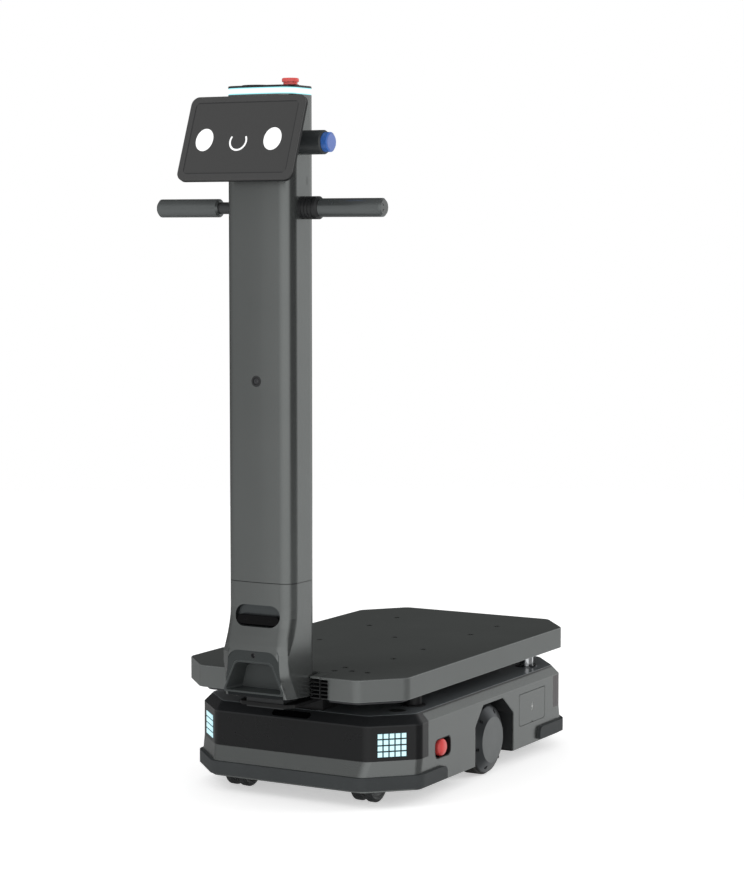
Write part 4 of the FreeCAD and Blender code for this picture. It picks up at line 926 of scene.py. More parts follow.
def plate(outline: Outline, thickness: float, edge: float = 0.0) -> bmesh.types.BMesh:
    """Makes a flat plate in the XY plane, rising along Z.

    Args:
        outline: Its corners.
        thickness: How far it rises.
        edge: Width of the rounding on its edges.

    Returns:
        The closed plate.
    """
    shape = bmesh.new()
    thicken(shape, [shape.faces.new([shape.verts.new((x, y, 0.0)) for x, y in outline])], thickness)
    if edge > 0:
        soften(shape, shape.edges, edge)
    return shape


def disc(radius_x: float, radius_y: float, thickness: float) -> bmesh.types.BMesh:
    """Makes a flat ellipse with a rounded upper edge.

    Args:
        radius_x: Half its width.
        radius_y: Half its height.
        thickness: How far it rises along Z.

    Returns:
        The closed disc.
    """
    shape = bmesh.new()
    bmesh.ops.create_circle(shape, cap_ends=True, segments=64, radius=1.0)
    bmesh.ops.scale(shape, vec=(radius_x, radius_y, 1.0), verts=shape.verts)
    thicken(shape, shape.faces, thickness)
    rim = [edge for edge in shape.edges if all(vert.co.z > thickness / 2 for vert in edge.verts)]
    soften(shape, rim, thickness * 0.4)
    return shape


def gathered(shapes: Sequence[bmesh.types.BMesh]) -> bmesh.types.BMesh:
    """Joins several shapes into one and frees them.

    Args:
        shapes: The shapes.

    Returns:
        The joined shape.
    """
    whole = bmesh.new()
    for shape in shapes:
        carrier = bpy.data.meshes.new("carrier")
        shape.to_mesh(carrier)
        whole.from_mesh(carrier)
        bpy.data.meshes.remove(carrier)
        shape.free()
    return whole


def placed(shape: bmesh.types.BMesh, matrix: Matrix) -> bmesh.types.BMesh:
    """Moves a shape by a matrix and returns it."""
    bmesh.ops.transform(shape, matrix=matrix, verts=shape.verts)
    return shape


def shifted(shape: bmesh.types.BMesh, x: float = 0.0, y: float = 0.0, z: float = 0.0) -> bmesh.types.BMesh:
    """Moves a shape along the axes and returns it."""
    return placed(shape, Matrix.Translation((x, y, z)))


def middle(node: str) -> Vector:
    """Returns the middle of a node's box."""
    low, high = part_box(node)
    return (low + high) / 2


def linked(name: str, data: bpy.types.ID) -> bpy.types.Object:
    """Puts an object with the given data into the scene and returns it.

    Args:
        name: The object's name.
        data: Its mesh, camera or lamp.

    Returns:
        The object.
    """
    made = bpy.data.objects.new(name, data)
    bpy.context.scene.collection.objects.link(made)
    return made


def meshed(name: str, shape: bmesh.types.BMesh, material: bpy.types.Material) -> bpy.types.Object:
    """Puts a shape into the scene as an object, and frees the shape.

    Args:
        name: The object's name.
        shape: The shape.
        material: The object's only material.

    Returns:
        The object.
    """
    mesh = bpy.data.meshes.new(name)
    shape.to_mesh(mesh)
    shape.free()
    mesh.materials.append(material)
    return linked(name, mesh)


@dataclass
class Assembly:
    """A sub-assembly of the robot."""

    nodes: dict[str, bpy.types.Object]

    def dress(self, finish: Finish, *names: str) -> None:
        """Gives CAD nodes a finish.

        Args:
            finish: The finish.
            names: The nodes.
        """
        for name in names:
            for slot in self.nodes[name].material_slots:
                slot.link = "DATA"
                slot.material = finish.material()
        LOG.info("dressed %s in %s", ", ".join(names), finish.name)

    def add(self, name: str, shape: bmesh.types.BMesh, finish: Finish, body: str,
            slot: str) -> bpy.types.Object:
        """Makes a piece from a shape.

        Args:
            name: The piece's name.
            shape: Its mesh, in the robot's frame.
            finish: Its finish.
            body: The body it rides on.
            slot: The name of a material slot; not used.

        Returns:
            The piece.
        """
        piece = meshed(name, shape, finish.material())
        mesh = piece.data
        mesh.polygons.foreach_set("use_smooth", [True] * len(mesh.polygons))
        mesh.set_sharp_from_angle(angle=SHARP_ANGLE)
        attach(piece, body)
        LOG.info("made %s on %s with %d faces", name, body, len(mesh.polygons))
        return piece


# ---------------------------------------------------------------- base
@dataclass
class Base(Assembly):
    """Body shell, deck, bumpers, lamps, what is inside them, and the arm that carries the mast."""

    stud_r: float = 6.5 * MM
    stud_x: float = 60 * MM
    stud_in: float = 60 * MM
    corner_x: float = 206 * MM
    corner_y: float = 158 * MM
    stud_z: float = 33 * MM
    foot_h: float = 14 * MM
    foot_edge: float = 2 * MM
    foot_sink: float = 1 * MM
    carrier_t: float = 6.4 * MM
    carrier_gap: float = 0.6 * MM
    carrier_lip: float = 3 * MM
    carrier_inset: float = 12 * MM
    pad_length: float = 82 * MM
    pad_sink: float = 1 * MM

    def build(self) -> None:
        """Dresses the base and adds its feet and the mast's carrier."""
        self.dress(Palette.COVER, "body_shell")
        self.dress(Palette.GLOSS, "front_cover")
        self.dress(Palette.DECK, "top_deck")
        self.dress(Palette.WINDOW, "nose_window")
        self.dress(Palette.SMOKED, "rear_lights")
        self.dress(Palette.BUMPER, "front_bumper", "rear_bumper")
        self.dress(Palette.LAMP, "corner_lights")
        self.dress(Palette.FRAME, "chassis_plate", "belly_pan", "controller_box")
        self.dress(Palette.BATTERY, "battery_pack")
        self.dress(Palette.STEEL, "lift_drive", "axle_brackets", "caster_mounts")
        self.dress(Palette.BOLT, "frame_bolts")
        self.dress(Palette.MOULDED, "plugs_and_studs")
        self.add("stud_feet", self.stud_feet(), Palette.MOULDED, "base", "black_plastic")
        carrier = self.add("mast_carrier", self.carrier(), Palette.CARRIER, "base", "frame_paint")
        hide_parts("mast_base_plate")

    def carrier(self) -> bmesh.types.BMesh:
        """Makes the arm that holds the mast in front of the nose, on its pad on the deck.

        Returns:
            The arm with its pad.
        """
        low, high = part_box("mast_base_plate")
        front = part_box("mast_core")[0].y - self.carrier_lip
        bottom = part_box("foot_tray")[0].z - self.carrier_gap - self.carrier_t
        inset = self.carrier_inset
        arm = [(low.x + inset, front), (high.x - inset, front), (high.x, front + inset), (high.x, high.y),
               (low.x, high.y), (low.x, front + inset)]
        pad = rectangle(low.x, high.x, high.y - self.pad_length, high.y)
        return gathered([shifted(plate(arm, self.carrier_t), z=bottom),
                         shifted(plate(pad, bottom + self.pad_sink - low.z), z=low.z)])

    def stud_feet(self) -> bmesh.types.BMesh:
        """Makes the rubber feet that lengthen the studs under the belly.

        Returns:
            All feet.
        """
        low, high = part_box("body_shell")
        places = [(x, y) for x in (-self.stud_x, self.stud_x)
                  for y in (low.y + self.stud_in, high.y - self.stud_in)]
        places += [(side * self.corner_x, low.y + self.corner_y) for side in (1, -1)]
        radius, reach, edge = self.stud_r, self.foot_h, self.foot_edge
        foot = [(-self.foot_sink, 0.0), (-self.foot_sink, radius), (reach - edge, radius),
                (reach, radius - edge), (reach, 0.0)]
        return gathered([turned(foot, -UP, Vector((x, y, self.stud_z)), steps=24) for x, y in places])


@dataclass
class DriveWheels(Assembly):
    """The two drive wheels in their wells."""

    flat_r: float = 46 * MM
    rim_r: float = 66 * MM
    screw_ring_r: float = 56 * MM
    screw_r: float = 3.4 * MM
    screw_h: float = 1.6 * MM
    screw_n: int = 6
    screw_turn: float = math.radians(12)
    cover_h: float = 14 * MM
    cover_lip: float = 2 * MM
    screw_sink: float = 1.5 * MM

    def build(self) -> None:
        """Dresses the wheels and adds their screws."""
        centre = middle("hub_cover_right")
        # painted light and shade: the cover's flat is lighter than its cone
        cover = HubDisc("hub_cover_lit_and_shaded_paint", linear(90, 93, 95), linear(118, 121, 121),
                        (0.0, centre.y, centre.z), self.flat_r, self.rim_r)
        self.dress(cover, "hub_cover_left", "hub_cover_right")
        self.dress(Palette.TYRE, "tyre_left", "tyre_right")
        self.dress(Palette.ALLOY, "hub_left", "hub_right")
        self.dress(Palette.WELL, "wheel_wells")
        for side, name in SIDES:
            self.add("hub_screws_" + name, self.screws(side, centre), Palette.BOLT, "wheel_" + name, "steel")

    def screws(self, side: int, centre: Vector) -> bmesh.types.BMesh:
        """Makes the socket heads in one hub cover.

        Args:
            side: 1 for the right wheel, -1 for the left.
            centre: The middle of the right hub cover.

        Returns:
            All heads of that side.
        """
        outer_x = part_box("hub_cover_right")[1].x
        share = (self.rim_r - self.screw_ring_r) / (self.rim_r - self.flat_r)
        rise = (self.cover_h - self.cover_lip) * share
        seat_x = outer_x - self.cover_h + self.cover_lip + rise - self.screw_sink
        radius, height = self.screw_r, self.screw_h
        head = [(0.0, radius * 0.5), (0.0, radius * 0.45), (height, radius * 0.5), (height, radius * 0.85),
                (height * 0.8, radius), (0.0, radius)]
        heads = []
        for k in range(self.screw_n):
            turn = FULL_TURN * k / self.screw_n + self.screw_turn
            place = Vector((side * seat_x, centre.y + self.screw_ring_r * math.cos(turn),
                            centre.z + self.screw_ring_r * math.sin(turn)))
            heads.append(turned(head, Vector((side, 0.0, 0.0)), place, steps=18))
        return gathered(heads)


@dataclass
class Casters(Assembly):
    """Four twin-wheel swivel casters; nut_mm holds shares of the disc's height with radii."""

    turn: float = math.radians(-6.6)
    core_r: float = 25.6 * MM
    half_width: float = 24 * MM
    disc_r: float = 22 * MM
    disc_sink: float = 1.6 * MM
    disc_h: float = 1.5 * MM
    nut_mm: Outline = ((0.4, 8), (1.0, 7), (1.0, 4), (0.5, 3.4), (0.5, 0))

    def build(self) -> None:
        """Dresses the casters and adds their side discs."""
        for end in ("front", "rear"):
            for side in ("left", "right"):
                name = end + "_" + side
                centre = middle("caster_wheels_" + name)
                tread = CasterTread("caster_tread_" + name, linear(46, 48, 49), linear(112, 114, 114),
                                    tuple(centre), self.turn, self.core_r)
                self.dress(tread, "caster_wheels_" + name)
                self.dress(Palette.STEEL, "caster_fork_" + name)
                self.add("caster_discs_" + name, self.discs(centre), Palette.ALLOY,
                         "caster_" + name + "_pair", "hub_alu")

    def discs(self, centre: Vector) -> bmesh.types.BMesh:
        """Makes the two side discs of a caster.

        Args:
            centre: The middle of its axle.

        Returns:
            Both discs with their axle nuts.
        """
        along = Vector((math.cos(self.turn), math.sin(self.turn), 0.0))
        face = self.half_width - self.disc_sink
        rise = self.disc_h
        profile = [(0.0, self.disc_r * 0.72), (rise * 0.4, self.disc_r * 0.7)]
        profile += [(rise * share, radius * MM) for share, radius in self.nut_mm]
        return gathered([turned(profile, along * sign, centre + along * sign * face, steps=36)
                         for sign in (1, -1)])


@dataclass
class Stops(Assembly):
    """Emergency stops on both sides and on top; crown holds shares of a head's height and radius."""

    head_r: float = 17 * MM
    head_h: float = 17 * MM
    stem_r: float = 6 * MM
    crown: Outline = ((1.0, 0.9), (0.9, 1.0), (0.5, 1.0), (0.28, 0.93), (0.12, 0.76), (0.04, 0.5))

    def build(self) -> None:
        """Dresses the stops and their cups."""
        self.dress(Palette.RED_TOP, "top_stop_button")
        self.dress(Palette.LOUVRE, "stop_bases")
        for side, name in SIDES:
            head = self.add("stop_head_" + name, self.head(side, "side_stop_" + name), Palette.RED,
                            "stop_" + name, "red")
            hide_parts("side_stop_" + name)

    def head(self, side: int, node: str) -> bmesh.types.BMesh:
        """Makes a mushroom head on its stem.

        Args:
            side: 1 for the right side, -1 for the left.
            node: The CAD button it stands for.

        Returns:
            The closed head.
        """
        low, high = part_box(node)
        reach = max(abs(low.x), abs(high.x))
        depth = reach - min(abs(low.x), abs(high.x))
        profile = [(0.0, 0.0), (0.0, self.stem_r), (depth - self.head_h, self.stem_r)]
        profile += [(depth - self.head_h * down, self.head_r * out) for down, out in self.crown]
        profile.append((depth, 0.0))
        foot = Vector((side * (reach - depth), (low.y + high.y) / 2, (low.z + high.z) / 2))
        return turned(profile, Vector((side, 0.0, 0.0)), foot, steps=56)


@dataclass
class ChargingPort(Assembly):
    """Charging recess behind its flap."""

    mark_h: float = 17 * MM
    mark_t: float = 0.25 * MM
    mark: Outline = ((0.10, 0.50), (-0.26, -0.06), (-0.02, -0.06), (-0.12, -0.50), (0.26, 0.10), (0.03, 0.10))

    def build(self) -> None:
        """Dresses the recess and the flap and adds the lightning mark."""
        self.dress(Palette.WELL, "charge_recess")
        self.dress(Palette.FLAP, "charge_flap")
        self.add("charging_mark", self.lightning(), Palette.MARK, "charging_door", "hub_alu")

    def lightning(self) -> bmesh.types.BMesh:
        """Makes the small lightning mark on the flap.

        Returns:
            The mark.
        """
        mark = plate([(x * self.mark_h, y * self.mark_h) for x, y in self.mark], self.mark_t)
        low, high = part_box("charge_flap")
        place = Matrix.Translation((high.x - self.mark_t * 0.2, (low.y + high.y) / 2, (low.z + high.z) / 2))
        return placed(mark, place @ FACING_RIGHT)


# ---------------------------------------------------------------- platform
@dataclass
class Platform(Assembly):
    """Lifting load platform with its threaded inserts and the pieces beside the mast.

    holes_mm gives each pair of holes by its distance from the middle and from the front edge.
    """

    insert_r: float = 5.2 * MM
    bore_r: float = 3.5 * MM
    insert_h: float = 0.3 * MM
    insert_sink: float = 0.2 * MM
    bore_depth: float = 2.5 * MM
    holes_mm: Outline = ((119, 236), (119, 359), (119, 564), (119, 684), (86, 68), (86, 108), (117, 80),
                         (150, 80))
    centre_hole_y: float = 459 * MM
    notch_in: float = 73.5 * MM
    notch_out: float = 93 * MM
    notch_y: float = 42 * MM
    sheet_t: float = 4 * MM
    slat_n: int = 5
    slat_depth: float = 24 * MM
    slat_in: float = 1 * MM
    wall_t: float = 2 * MM

    def build(self) -> None:
        """Dresses the platform and adds its inserts and the pieces beside the mast."""
        top_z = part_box("load_plate")[1].z
        sheet = SheetTop("load_plate_paint", SATIN_GREY, linear(72, 74, 73), top_z)
        self.dress(sheet, "load_plate")
        self.dress(Palette.FRAME, "platform_frame")
        self.dress(Palette.LOUVRE, "platform_louvre")
        # painted shade: the posts and bushes in front of the platform's middle are painted dark
        shaded_front_y = middle("load_plate").y
        posts = Metal("polished_guide_post", linear(212, 214, 216), roughness=0.08, lay=Lay.DRAWN,
                      grime=0.05, shaded_front_y=shaded_front_y)
        bushes = Metal("guide_bush_steel", linear(120, 122, 124), roughness=0.22, lay=Lay.TURNED,
                       shaded_front_y=shaded_front_y)
        self.dress(posts, "guide_posts")
        self.dress(bushes, "guide_bushes")
        self.add("thread_inserts", self.inserts(top_z), Palette.INSERT, "platform", "steel")
        self.add("notch_plates", self.notch_plates(top_z), sheet, "platform", "platform_paint")
        self.add("notch_vents", self.notch_vents(), Palette.LOUVRE, "platform", "black_plastic")

    def notch_plates(self, top_z: float) -> bmesh.types.BMesh:
        """Makes the two plates that close the notch beside the mast.

        Args:
            top_z: Height of the platform's upper face.

        Returns:
            Both plates.
        """
        front_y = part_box("load_plate")[0].y
        outlines = [rectangle(side * self.notch_in, side * self.notch_out, front_y, front_y + self.notch_y)
                    for side in (1, -1)]
        return gathered([shifted(plate(outline, self.sheet_t), z=top_z - self.sheet_t)
                         for outline in outlines])

    def notch_vents(self) -> bmesh.types.BMesh:
        """Makes the slats that carry the vents on to the mast.

        Returns:
            The slats with the walls behind them.
        """
        low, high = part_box("platform_louvre")
        rise = (high.z - low.z) / self.slat_n
        slats = []
        for side in (1, -1):
            ends = sorted((side * self.notch_in, side * self.notch_out))
            turn = Matrix(((0.0, 0.0, 1.0, ends[0]), (1.0, 0.0, 0.0, low.y), (0.0, 1.0, 0.0, 0.0),
                           (0.0, 0.0, 0.0, 1.0)))
            sections = [[(self.slat_in, z), (self.slat_depth, z + rise * 0.55),
                         (self.slat_depth, z + rise * 0.8), (self.slat_in, z + rise * 0.3)]
                        for z in (low.z + k * rise for k in range(self.slat_n))]
            sections.append(rectangle(self.slat_depth, self.slat_depth + self.wall_t, low.z, high.z))
            slats += [placed(plate(section, ends[1] - ends[0]), turn) for section in sections]
        return gathered(slats)

    def places(self) -> list[tuple[float, float]]:
        """Gives the threaded holes from the platform's own front edge."""
        pairs = [(side * x * MM, y * MM) for x, y in self.holes_mm for side in (1, -1)]
        return pairs + [(0.0, self.centre_hole_y)]

    def inserts(self, top_z: float) -> bmesh.types.BMesh:
        """Makes the flanged rings round the threaded holes.

        Args:
            top_z: Height of the platform's upper face.

        Returns:
            All rings.
        """
        front_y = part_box("load_plate")[0].y
        bore, outer, height = self.bore_r, self.insert_r, self.insert_h
        ring = [(-self.bore_depth, bore), (height * 0.6, bore), (height, bore + height),
                (height, outer - height), (0.0, outer), (-self.insert_sink, outer), (-self.insert_sink, bore)]
        return gathered([turned(ring, UP, Vector((x, front_y + y, top_z)), steps=24)
                         for x, y in self.places()])


# ---------------------------------------------------------------- mast
@dataclass
class Mast(Assembly):
    """Mast with its foot, cameras, light ring and cap.

    eyes_mm holds the place and the radius of each eye of the depth camera, and lens_rings a lens's profile as
    shares of its bulge and of its radius.
    """

    seam_z: float = 428 * MM
    mast_lens_r: float = 6 * MM
    foot_lens_r: float = 3.8 * MM
    foot_lens_z: float = 294 * MM
    foot_lens_sink: float = 3.5 * MM
    mast_lens_z: float = 799 * MM
    mast_lens_sink: float = 0.6 * MM
    slot_half: float = 48 * MM
    slot_z: tuple[float, float] = (346 * MM, 386 * MM)
    slot_depth: float = 28 * MM
    arch_half: float = 71 * MM
    arch_top_z: float = 304 * MM
    face_play: float = 0.3 * MM
    sill_z: float = 227 * MM
    sill_half: float = 60 * MM
    floor_inset: float = 6 * MM
    floor_cut: float = 16 * MM
    floor_t: float = 10 * MM
    floor_edge: float = 0.8 * MM
    floor_drop: float = 1.5 * MM
    vent_size: tuple[float, float] = (1.2 * MM, 15 * MM)
    vent_t: float = 0.2 * MM
    vent_share: float = 0.64
    vent_z: float = 1164 * MM
    eyes_mm: Outline = ((-26, 4.6), (26, 4.6), (8, 3.2))
    eye_sink: float = 0.1 * MM
    lens_root: float = 0.5 * MM
    lens_bulge: float = 0.12
    lens_rings: Outline = ((0.3, 0.93), (0.3, 0.66), (0.0, 0.6), (0.5, 0.45), (0.9, 0.2))

    def build(self) -> None:
        """Dresses the mast and adds its foot's floor, its lenses and its vent."""
        self.dress(self.paint(), "column_foot", "column_tube")
        self.dress(Palette.LINER, "alcove_liner")
        self.dress(Palette.COVER, "display_arm")
        floor = self.add("foot_floor", self.foot_floor(), Palette.TRAY, "base", "gloss_black")
        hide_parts("foot_tray")
        self.dress(Palette.WINDOW, "depth_camera")
        self.dress(Palette.CORE, "mast_core")
        self.dress(Palette.MOULDED, "mast_cameras")
        self.dress(Palette.SEAL_CAP, "top_cap")
        low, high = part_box("light_ring")
        ring = LampGlow("light_ring_glow", WHITE, linear(124, 234, 242), low_z=low.z, high_z=high.z)
        self.dress(ring, "light_ring")
        mast_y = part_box("column_tube")[0].y + self.mast_lens_sink
        foot_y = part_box("mast_cameras")[0].y + self.foot_lens_sink
        self.add("mast_lens", self.lens(self.mast_lens_z, self.mast_lens_r, mast_y), Palette.LENS, "base",
                 "smoked")
        self.add("foot_lens", self.lens(self.foot_lens_z, self.foot_lens_r, foot_y), Palette.LENS, "base",
                 "smoked")
        self.add("depth_lenses", self.depth_lenses(), Palette.WINDOW, "base", "smoked")
        # painted shade: a black sheet stands for the shade inside the vent's slit
        self.add("mast_vent_shade", self.vent(), Palette.WINDOW, "base", "black_plastic")

    def paint(self) -> PowderCoat:
        """Makes the mast's paint, with painted shade in the camera's slot and on the sill under the foot's
        front, and a darker face round the arch.

        Returns:
            The paint.
        """
        face_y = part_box("alcove_liner")[0].y
        back_y = face_y + self.slot_depth
        slot_low, slot_high = self.slot_z
        # painted shade: the camera's slot, a recess, is painted darker
        slot = Field(linear(84, 88, 89), (-self.slot_half, face_y, slot_low),
                     (self.slot_half, back_y, slot_high), (slot_high - slot_low) / 2)
        arch = Field(linear(76, 80, 80), (-self.arch_half, face_y - self.face_play, 0.0),
                     (self.arch_half, face_y + self.face_play, self.arch_top_z))
        # painted shade: the sill where the foot's front tucks in below is painted dark
        sill_shade = Field(linear(40, 43, 44), (-self.sill_half, face_y, 0.0),
                     (self.sill_half, back_y, self.sill_z))
        return PowderCoat("satin_grey_mast", SATIN_GREY, roughness=0.24, seam_z=self.seam_z,
                          fields=(slot, arch, sill_shade))

    def foot_floor(self) -> bmesh.types.BMesh:
        """Makes the floor inside the foot's cover, with cut corners.

        Returns:
            The floor.
        """
        low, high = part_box("foot_tray")
        inset, cut = self.floor_inset, self.floor_cut
        x, front, rear = high.x - inset, low.y + inset, high.y - inset
        outline = [(cut - x, front), (x - cut, front), (x, front + cut), (x, rear), (-x, rear),
                   (-x, front + cut)]
        floor = plate(outline, self.floor_t, self.floor_edge)
        return shifted(floor, z=high.z - self.floor_drop - self.floor_t)

    def vent(self) -> bmesh.types.BMesh:
        """Makes the narrow upright vent in the mast's right side, a thin black sheet on the surface as
        painted shade for the slit.

        Returns:
            The vent.
        """
        low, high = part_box("column_tube")
        half_w, half_h = self.vent_size[0] / 2, self.vent_size[1] / 2
        slit = plate(rectangle(-half_w, half_w, -half_h, half_h), self.vent_t)
        y = low.y + (high.y - low.y) * self.vent_share
        place = Matrix.Translation((high.x - self.vent_t / 2, y, self.vent_z))
        return placed(slit, place @ FACING_RIGHT)

    def lens(self, z: float, radius: float, y: float) -> bmesh.types.BMesh:
        """Makes a lens that bulges to the front.

        Args:
            z: Height of its axis.
            radius: Its radius.
            y: Place of its foot.

        Returns:
            The lens with a retaining ring.
        """
        bulge = radius * self.lens_bulge
        profile = [(-self.lens_root, radius), (0.0, radius)]
        profile += [(bulge * rise, radius * out) for rise, out in self.lens_rings]
        profile.append((bulge, 0.0))
        return turned(profile, Vector((0.0, -1.0, 0.0)), Vector((0.0, y, z)), steps=40)

    def depth_lenses(self) -> bmesh.types.BMesh:
        """Makes the two eyes and the projector of the depth camera.

        Returns:
            All three lenses.
        """
        low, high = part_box("depth_camera")
        z = (low.z + high.z) / 2
        return gathered([shifted(self.lens(z, radius * MM, low.y + self.eye_sink), x=x * MM)
                         for x, radius in self.eyes_mm])


@dataclass
class Display(Assembly):
    """Tilted display with a plain smiling face."""

    tilt: float = math.radians(20.9)
    half_w: float = 107 * MM
    half_h: float = 67 * MM
    eye_x: tuple[float, float] = (-76.2 * MM, 68.2 * MM)
    eye_y: float = -3.5 * MM
    eye_half: tuple[float, float] = (18.4 * MM, 21.7 * MM)
    smile_at: tuple[float, float] = (-3.5 * MM, -7 * MM)
    smile_r: float = 17 * MM
    stroke: float = 3.5 * MM
    smile_from: float = math.radians(27)
    smile_to: float = math.radians(-207)
    mark_t: float = 0.2 * MM
    glass_t: float = 1.5 * MM
    frame_t: float = 3.2 * MM

    def build(self) -> None:
        """Dresses the display and adds its face."""
        centre = middle("display_glass")
        screen = ScreenGlass("display_screen", linear(62, 62, 62), linear(58, 58, 59), tuple(centre),
                             self.lean(), self.half_w, self.half_h)
        self.dress(screen, "display_glass")
        case = CaseShell("display_case_shell", linear(74, 74, 74), linear(26, 27, 28), tuple(centre),
                         self.lean(), self.frame_t)
        self.dress(case, "display_case")
        front = Matrix.Translation(centre) @ Matrix.Rotation(self.lean(), 4, "X")
        front = front @ Matrix.Translation((0.0, 0.0, self.glass_t / 2))
        self.add("face_eyes", placed(self.eyes(), front), Palette.FACE_LIGHT, "base", "lamp")
        self.add("face_smile", placed(self.smile(), front), Palette.FACE_LIGHT, "base", "lamp")

    def lean(self) -> float:
        """Gives the turn about X that faces +Z out of the screen."""
        return math.pi / 2 - self.tilt

    def eyes(self) -> bmesh.types.BMesh:
        """Makes both eyes in the screen's own plane."""
        return gathered([shifted(disc(*self.eye_half, self.mark_t), x, self.eye_y) for x in self.eye_x])

    def smile(self) -> bmesh.types.BMesh:
        """Makes the smile, a flat round-ended arc in the screen's own plane.

        Returns:
            The arc with its round ends.
        """
        shape = bmesh.new()
        made = bmesh.ops.create_circle(shape, cap_ends=False, segments=12, radius=self.stroke / 2)
        section = made["verts"]
        place = (Matrix.Rotation(self.smile_from, 4, "Z") @ Matrix.Translation((self.smile_r, 0.0, 0.0))
                 @ Matrix.Rotation(math.pi / 2, 4, "X"))
        bmesh.ops.transform(shape, matrix=place, verts=section)
        lines = list({edge for vert in section for edge in vert.link_edges})
        bmesh.ops.spin(shape, geom=section + lines, cent=(0.0, 0.0, 0.0), axis=(0.0, 0.0, 1.0),
                       angle=self.smile_to - self.smile_from, steps=40, use_merge=False,
                       use_duplicate=False)
        arc = [shape]
        for angle in (self.smile_from, self.smile_to):
            tip = bmesh.new()
            bmesh.ops.create_uvsphere(tip, u_segments=12, v_segments=8, radius=self.stroke / 2)
            place = Vector((math.cos(angle), math.sin(angle), 0.0)) * self.smile_r
            arc.append(placed(tip, Matrix.Translation(place)))
        whole = gathered(arc)
        bmesh.ops.scale(whole, vec=(1.0, 1.0, 2 * self.mark_t / self.stroke), verts=whole.verts)
        bmesh.ops.translate(whole, vec=(*self.smile_at, 0.0), verts=whole.verts)
        bmesh.ops.recalc_face_normals(whole, faces=whole.faces)
        return whole


@dataclass
class Handles(Assembly):
    """Handlebar, grips, collars and the mode button."""

    end_cap_t: float = 0.3 * MM
    collar_rise: float = 20 * MM
    cap_t: float = 1.2 * MM

    def build(self) -> None:
        """Dresses the handles."""
        end_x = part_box("handle_grips")[1].x
        grip = Moulded("grip_elastomer", linear(112, 116, 116), roughness=0.26, metallic=0.6,
                       accent=linear(104, 106, 105), accent_from=end_x - self.end_cap_t, accent_both=True)
        self.dress(grip, "handle_grips")
        self.dress(Palette.BAR, "handle_bar")
        collars = Moulded("collar_plastic", linear(40, 41, 42), accent=linear(60, 64, 65), accent_axis=2,
                          accent_from=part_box("handle_grips")[1].z + self.collar_rise)
        self.dress(collars, "side_collars")
        face_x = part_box("mode_button")[1].x
        cap = Moulded("mode_button_blue", linear(66, 120, 210), roughness=0.34, texture=0.08, coat=0.3,
                      accent=linear(100, 126, 198), accent_from=face_x - self.cap_t)
        self.dress(cap, "mode_button")


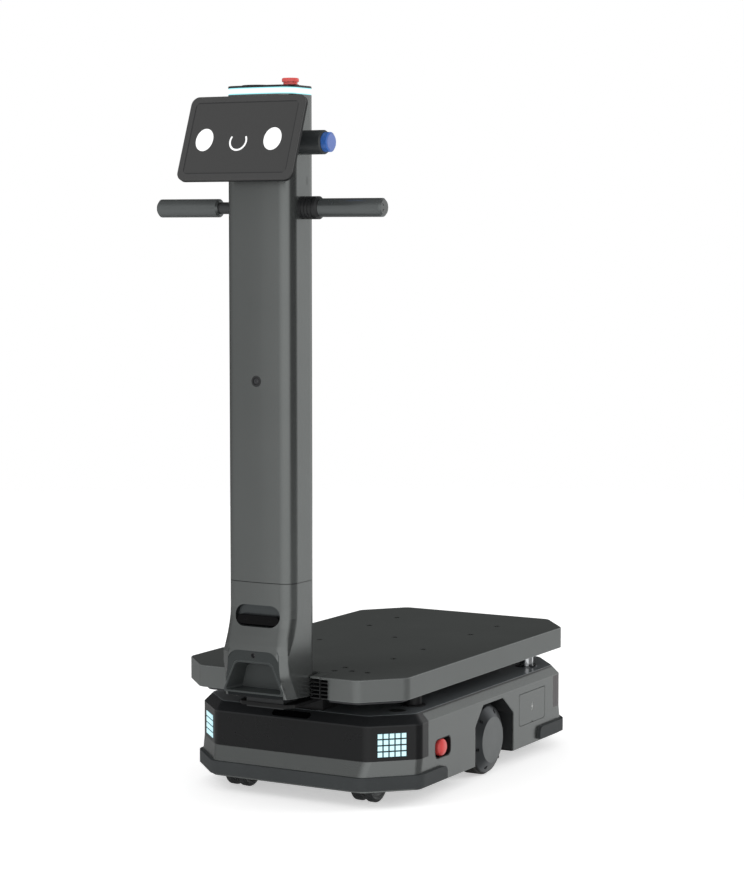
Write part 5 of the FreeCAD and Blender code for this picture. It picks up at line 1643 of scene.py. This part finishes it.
# ---------------------------------------------------------------- studio
@dataclass
class Studio:
    """Pale floor, soft light and the camera; walls holds (azimuth in degrees, level) pairs."""

    camera_at: tuple[float, float] = (2.394775, -3.88737)
    camera_z: float = 1.075094
    camera_turn: tuple[float, float, float] = (math.pi / 2 - 0.085, 0.0, 0.5130)
    lens: float = 100.93
    sensor_w: float = 36.0
    clip_end: float = 100.0
    floor_r: float = 6.0
    world_level: float = 0.95
    overhead_drop: float = 0.5
    ceiling_share: float = 0.7
    ceiling_level: float = 0.05
    walls: Outline = ((-180, 0.45), (-160, 0.03), (-120, 0.06), (-60, 0.4), (-30, 0.43), (-8, 0.8), (16, 1.0),
                      (60, 1.0), (76, 0.05), (132, 0.03), (143, 0.84), (165, 0.92), (180, 0.45))

    def build(self) -> None:
        """Makes the floor, the light and the camera."""
        self.make_camera()
        self.make_floor()
        self.make_world()
        self.make_lamps()
        bpy.context.scene.view_settings.view_transform = "Standard"

    def make_camera(self) -> None:
        """Places the camera."""
        data = bpy.data.cameras.new("studio_camera")
        data.lens = self.lens
        data.sensor_width = self.sensor_w
        data.clip_end = self.clip_end
        camera = linked("studio_camera", data)
        origin_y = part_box("load_plate")[0].y
        camera.location = (self.camera_at[0], origin_y + self.camera_at[1], self.camera_z)
        camera.rotation_euler = self.camera_turn
        bpy.context.scene.camera = camera

    def make_floor(self) -> None:
        """Lays the round floor."""
        shape = bmesh.new()
        bmesh.ops.create_circle(shape, cap_ends=True, segments=96, radius=self.floor_r)
        floor = meshed("studio_floor", shape, StudioFloor("studio_floor", self.floor_r).material())

    def make_world(self) -> None:
        """Makes a white background whose reflections vary softly round the robot."""
        world = bpy.data.worlds.new("studio_world")
        bpy.context.scene.world = world
        world.use_nodes = True
        graph = Graph(world.node_tree)
        direction = graph.node("ShaderNodeTexCoord", output="Generated")
        x, y, height = graph.parts(direction)
        angle = graph.calculate("ARCTAN2", x, y * -1.0) / FULL_TURN + 0.5
        stops = [((degrees + 180) / 360, (level,) * 3) for degrees, level in self.walls]
        room = graph.node("ShaderNodeValToRGB", {"stops": stops}, {0: angle}, "Color")
        room = graph.mix(graph.ease(height, 0.3, 0.75) * self.ceiling_share, room, (self.ceiling_level,) * 3)
        camera, glossy, passing = graph.rays("Camera", "Glossy", "Transmission")
        overhead = graph.ease(height, 0.2, 0.95) * self.overhead_drop
        soft = graph.mix(overhead, (self.world_level,) * 3, BLACK)
        tone = graph.mix(glossy, soft, room)
        tone = graph.mix(camera + passing, tone, WHITE)
        shader = graph.node("ShaderNodeBackground", inputs={"Color": tone, "Strength": 1.0})
        graph.node("ShaderNodeOutputWorld", inputs={"Surface": shader})

    def make_lamps(self) -> None:
        """Hangs soft lamps at the left front and the right rear."""
        target = Vector((0.0, 0.0, 0.5))
        lamps = [("key_lamp", (-2.2, -3.2, 3.4), 2.2, 30.0), ("rim_lamp", (3.4, 2.4, 2.6), 2.4, 40.0)]
        for name, place, size, power in lamps:
            data = bpy.data.lights.new(name, "AREA")
            data.shape = "DISK"
            data.size = size
            data.energy = power
            lamp = linked(name, data)
            lamp.location = place
            lamp.rotation_euler = (Vector(place) - target).to_track_quat("Z", "Y").to_euler()
            lamp.visible_glossy = False


def main() -> None:
    """Dresses the whole robot and sets up its studio."""
    logging.basicConfig(level=logging.INFO, format="%(name)s: %(message)s")
    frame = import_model()
    nodes = frame["nodes"]
    for assembly in (Base, DriveWheels, Casters, Stops, ChargingPort, Platform, Mast, Display, Handles):
        assembly(nodes).build()
        LOG.info("built %s", assembly.__name__)
    Studio().build()


if __name__ == "__main__":
    main()
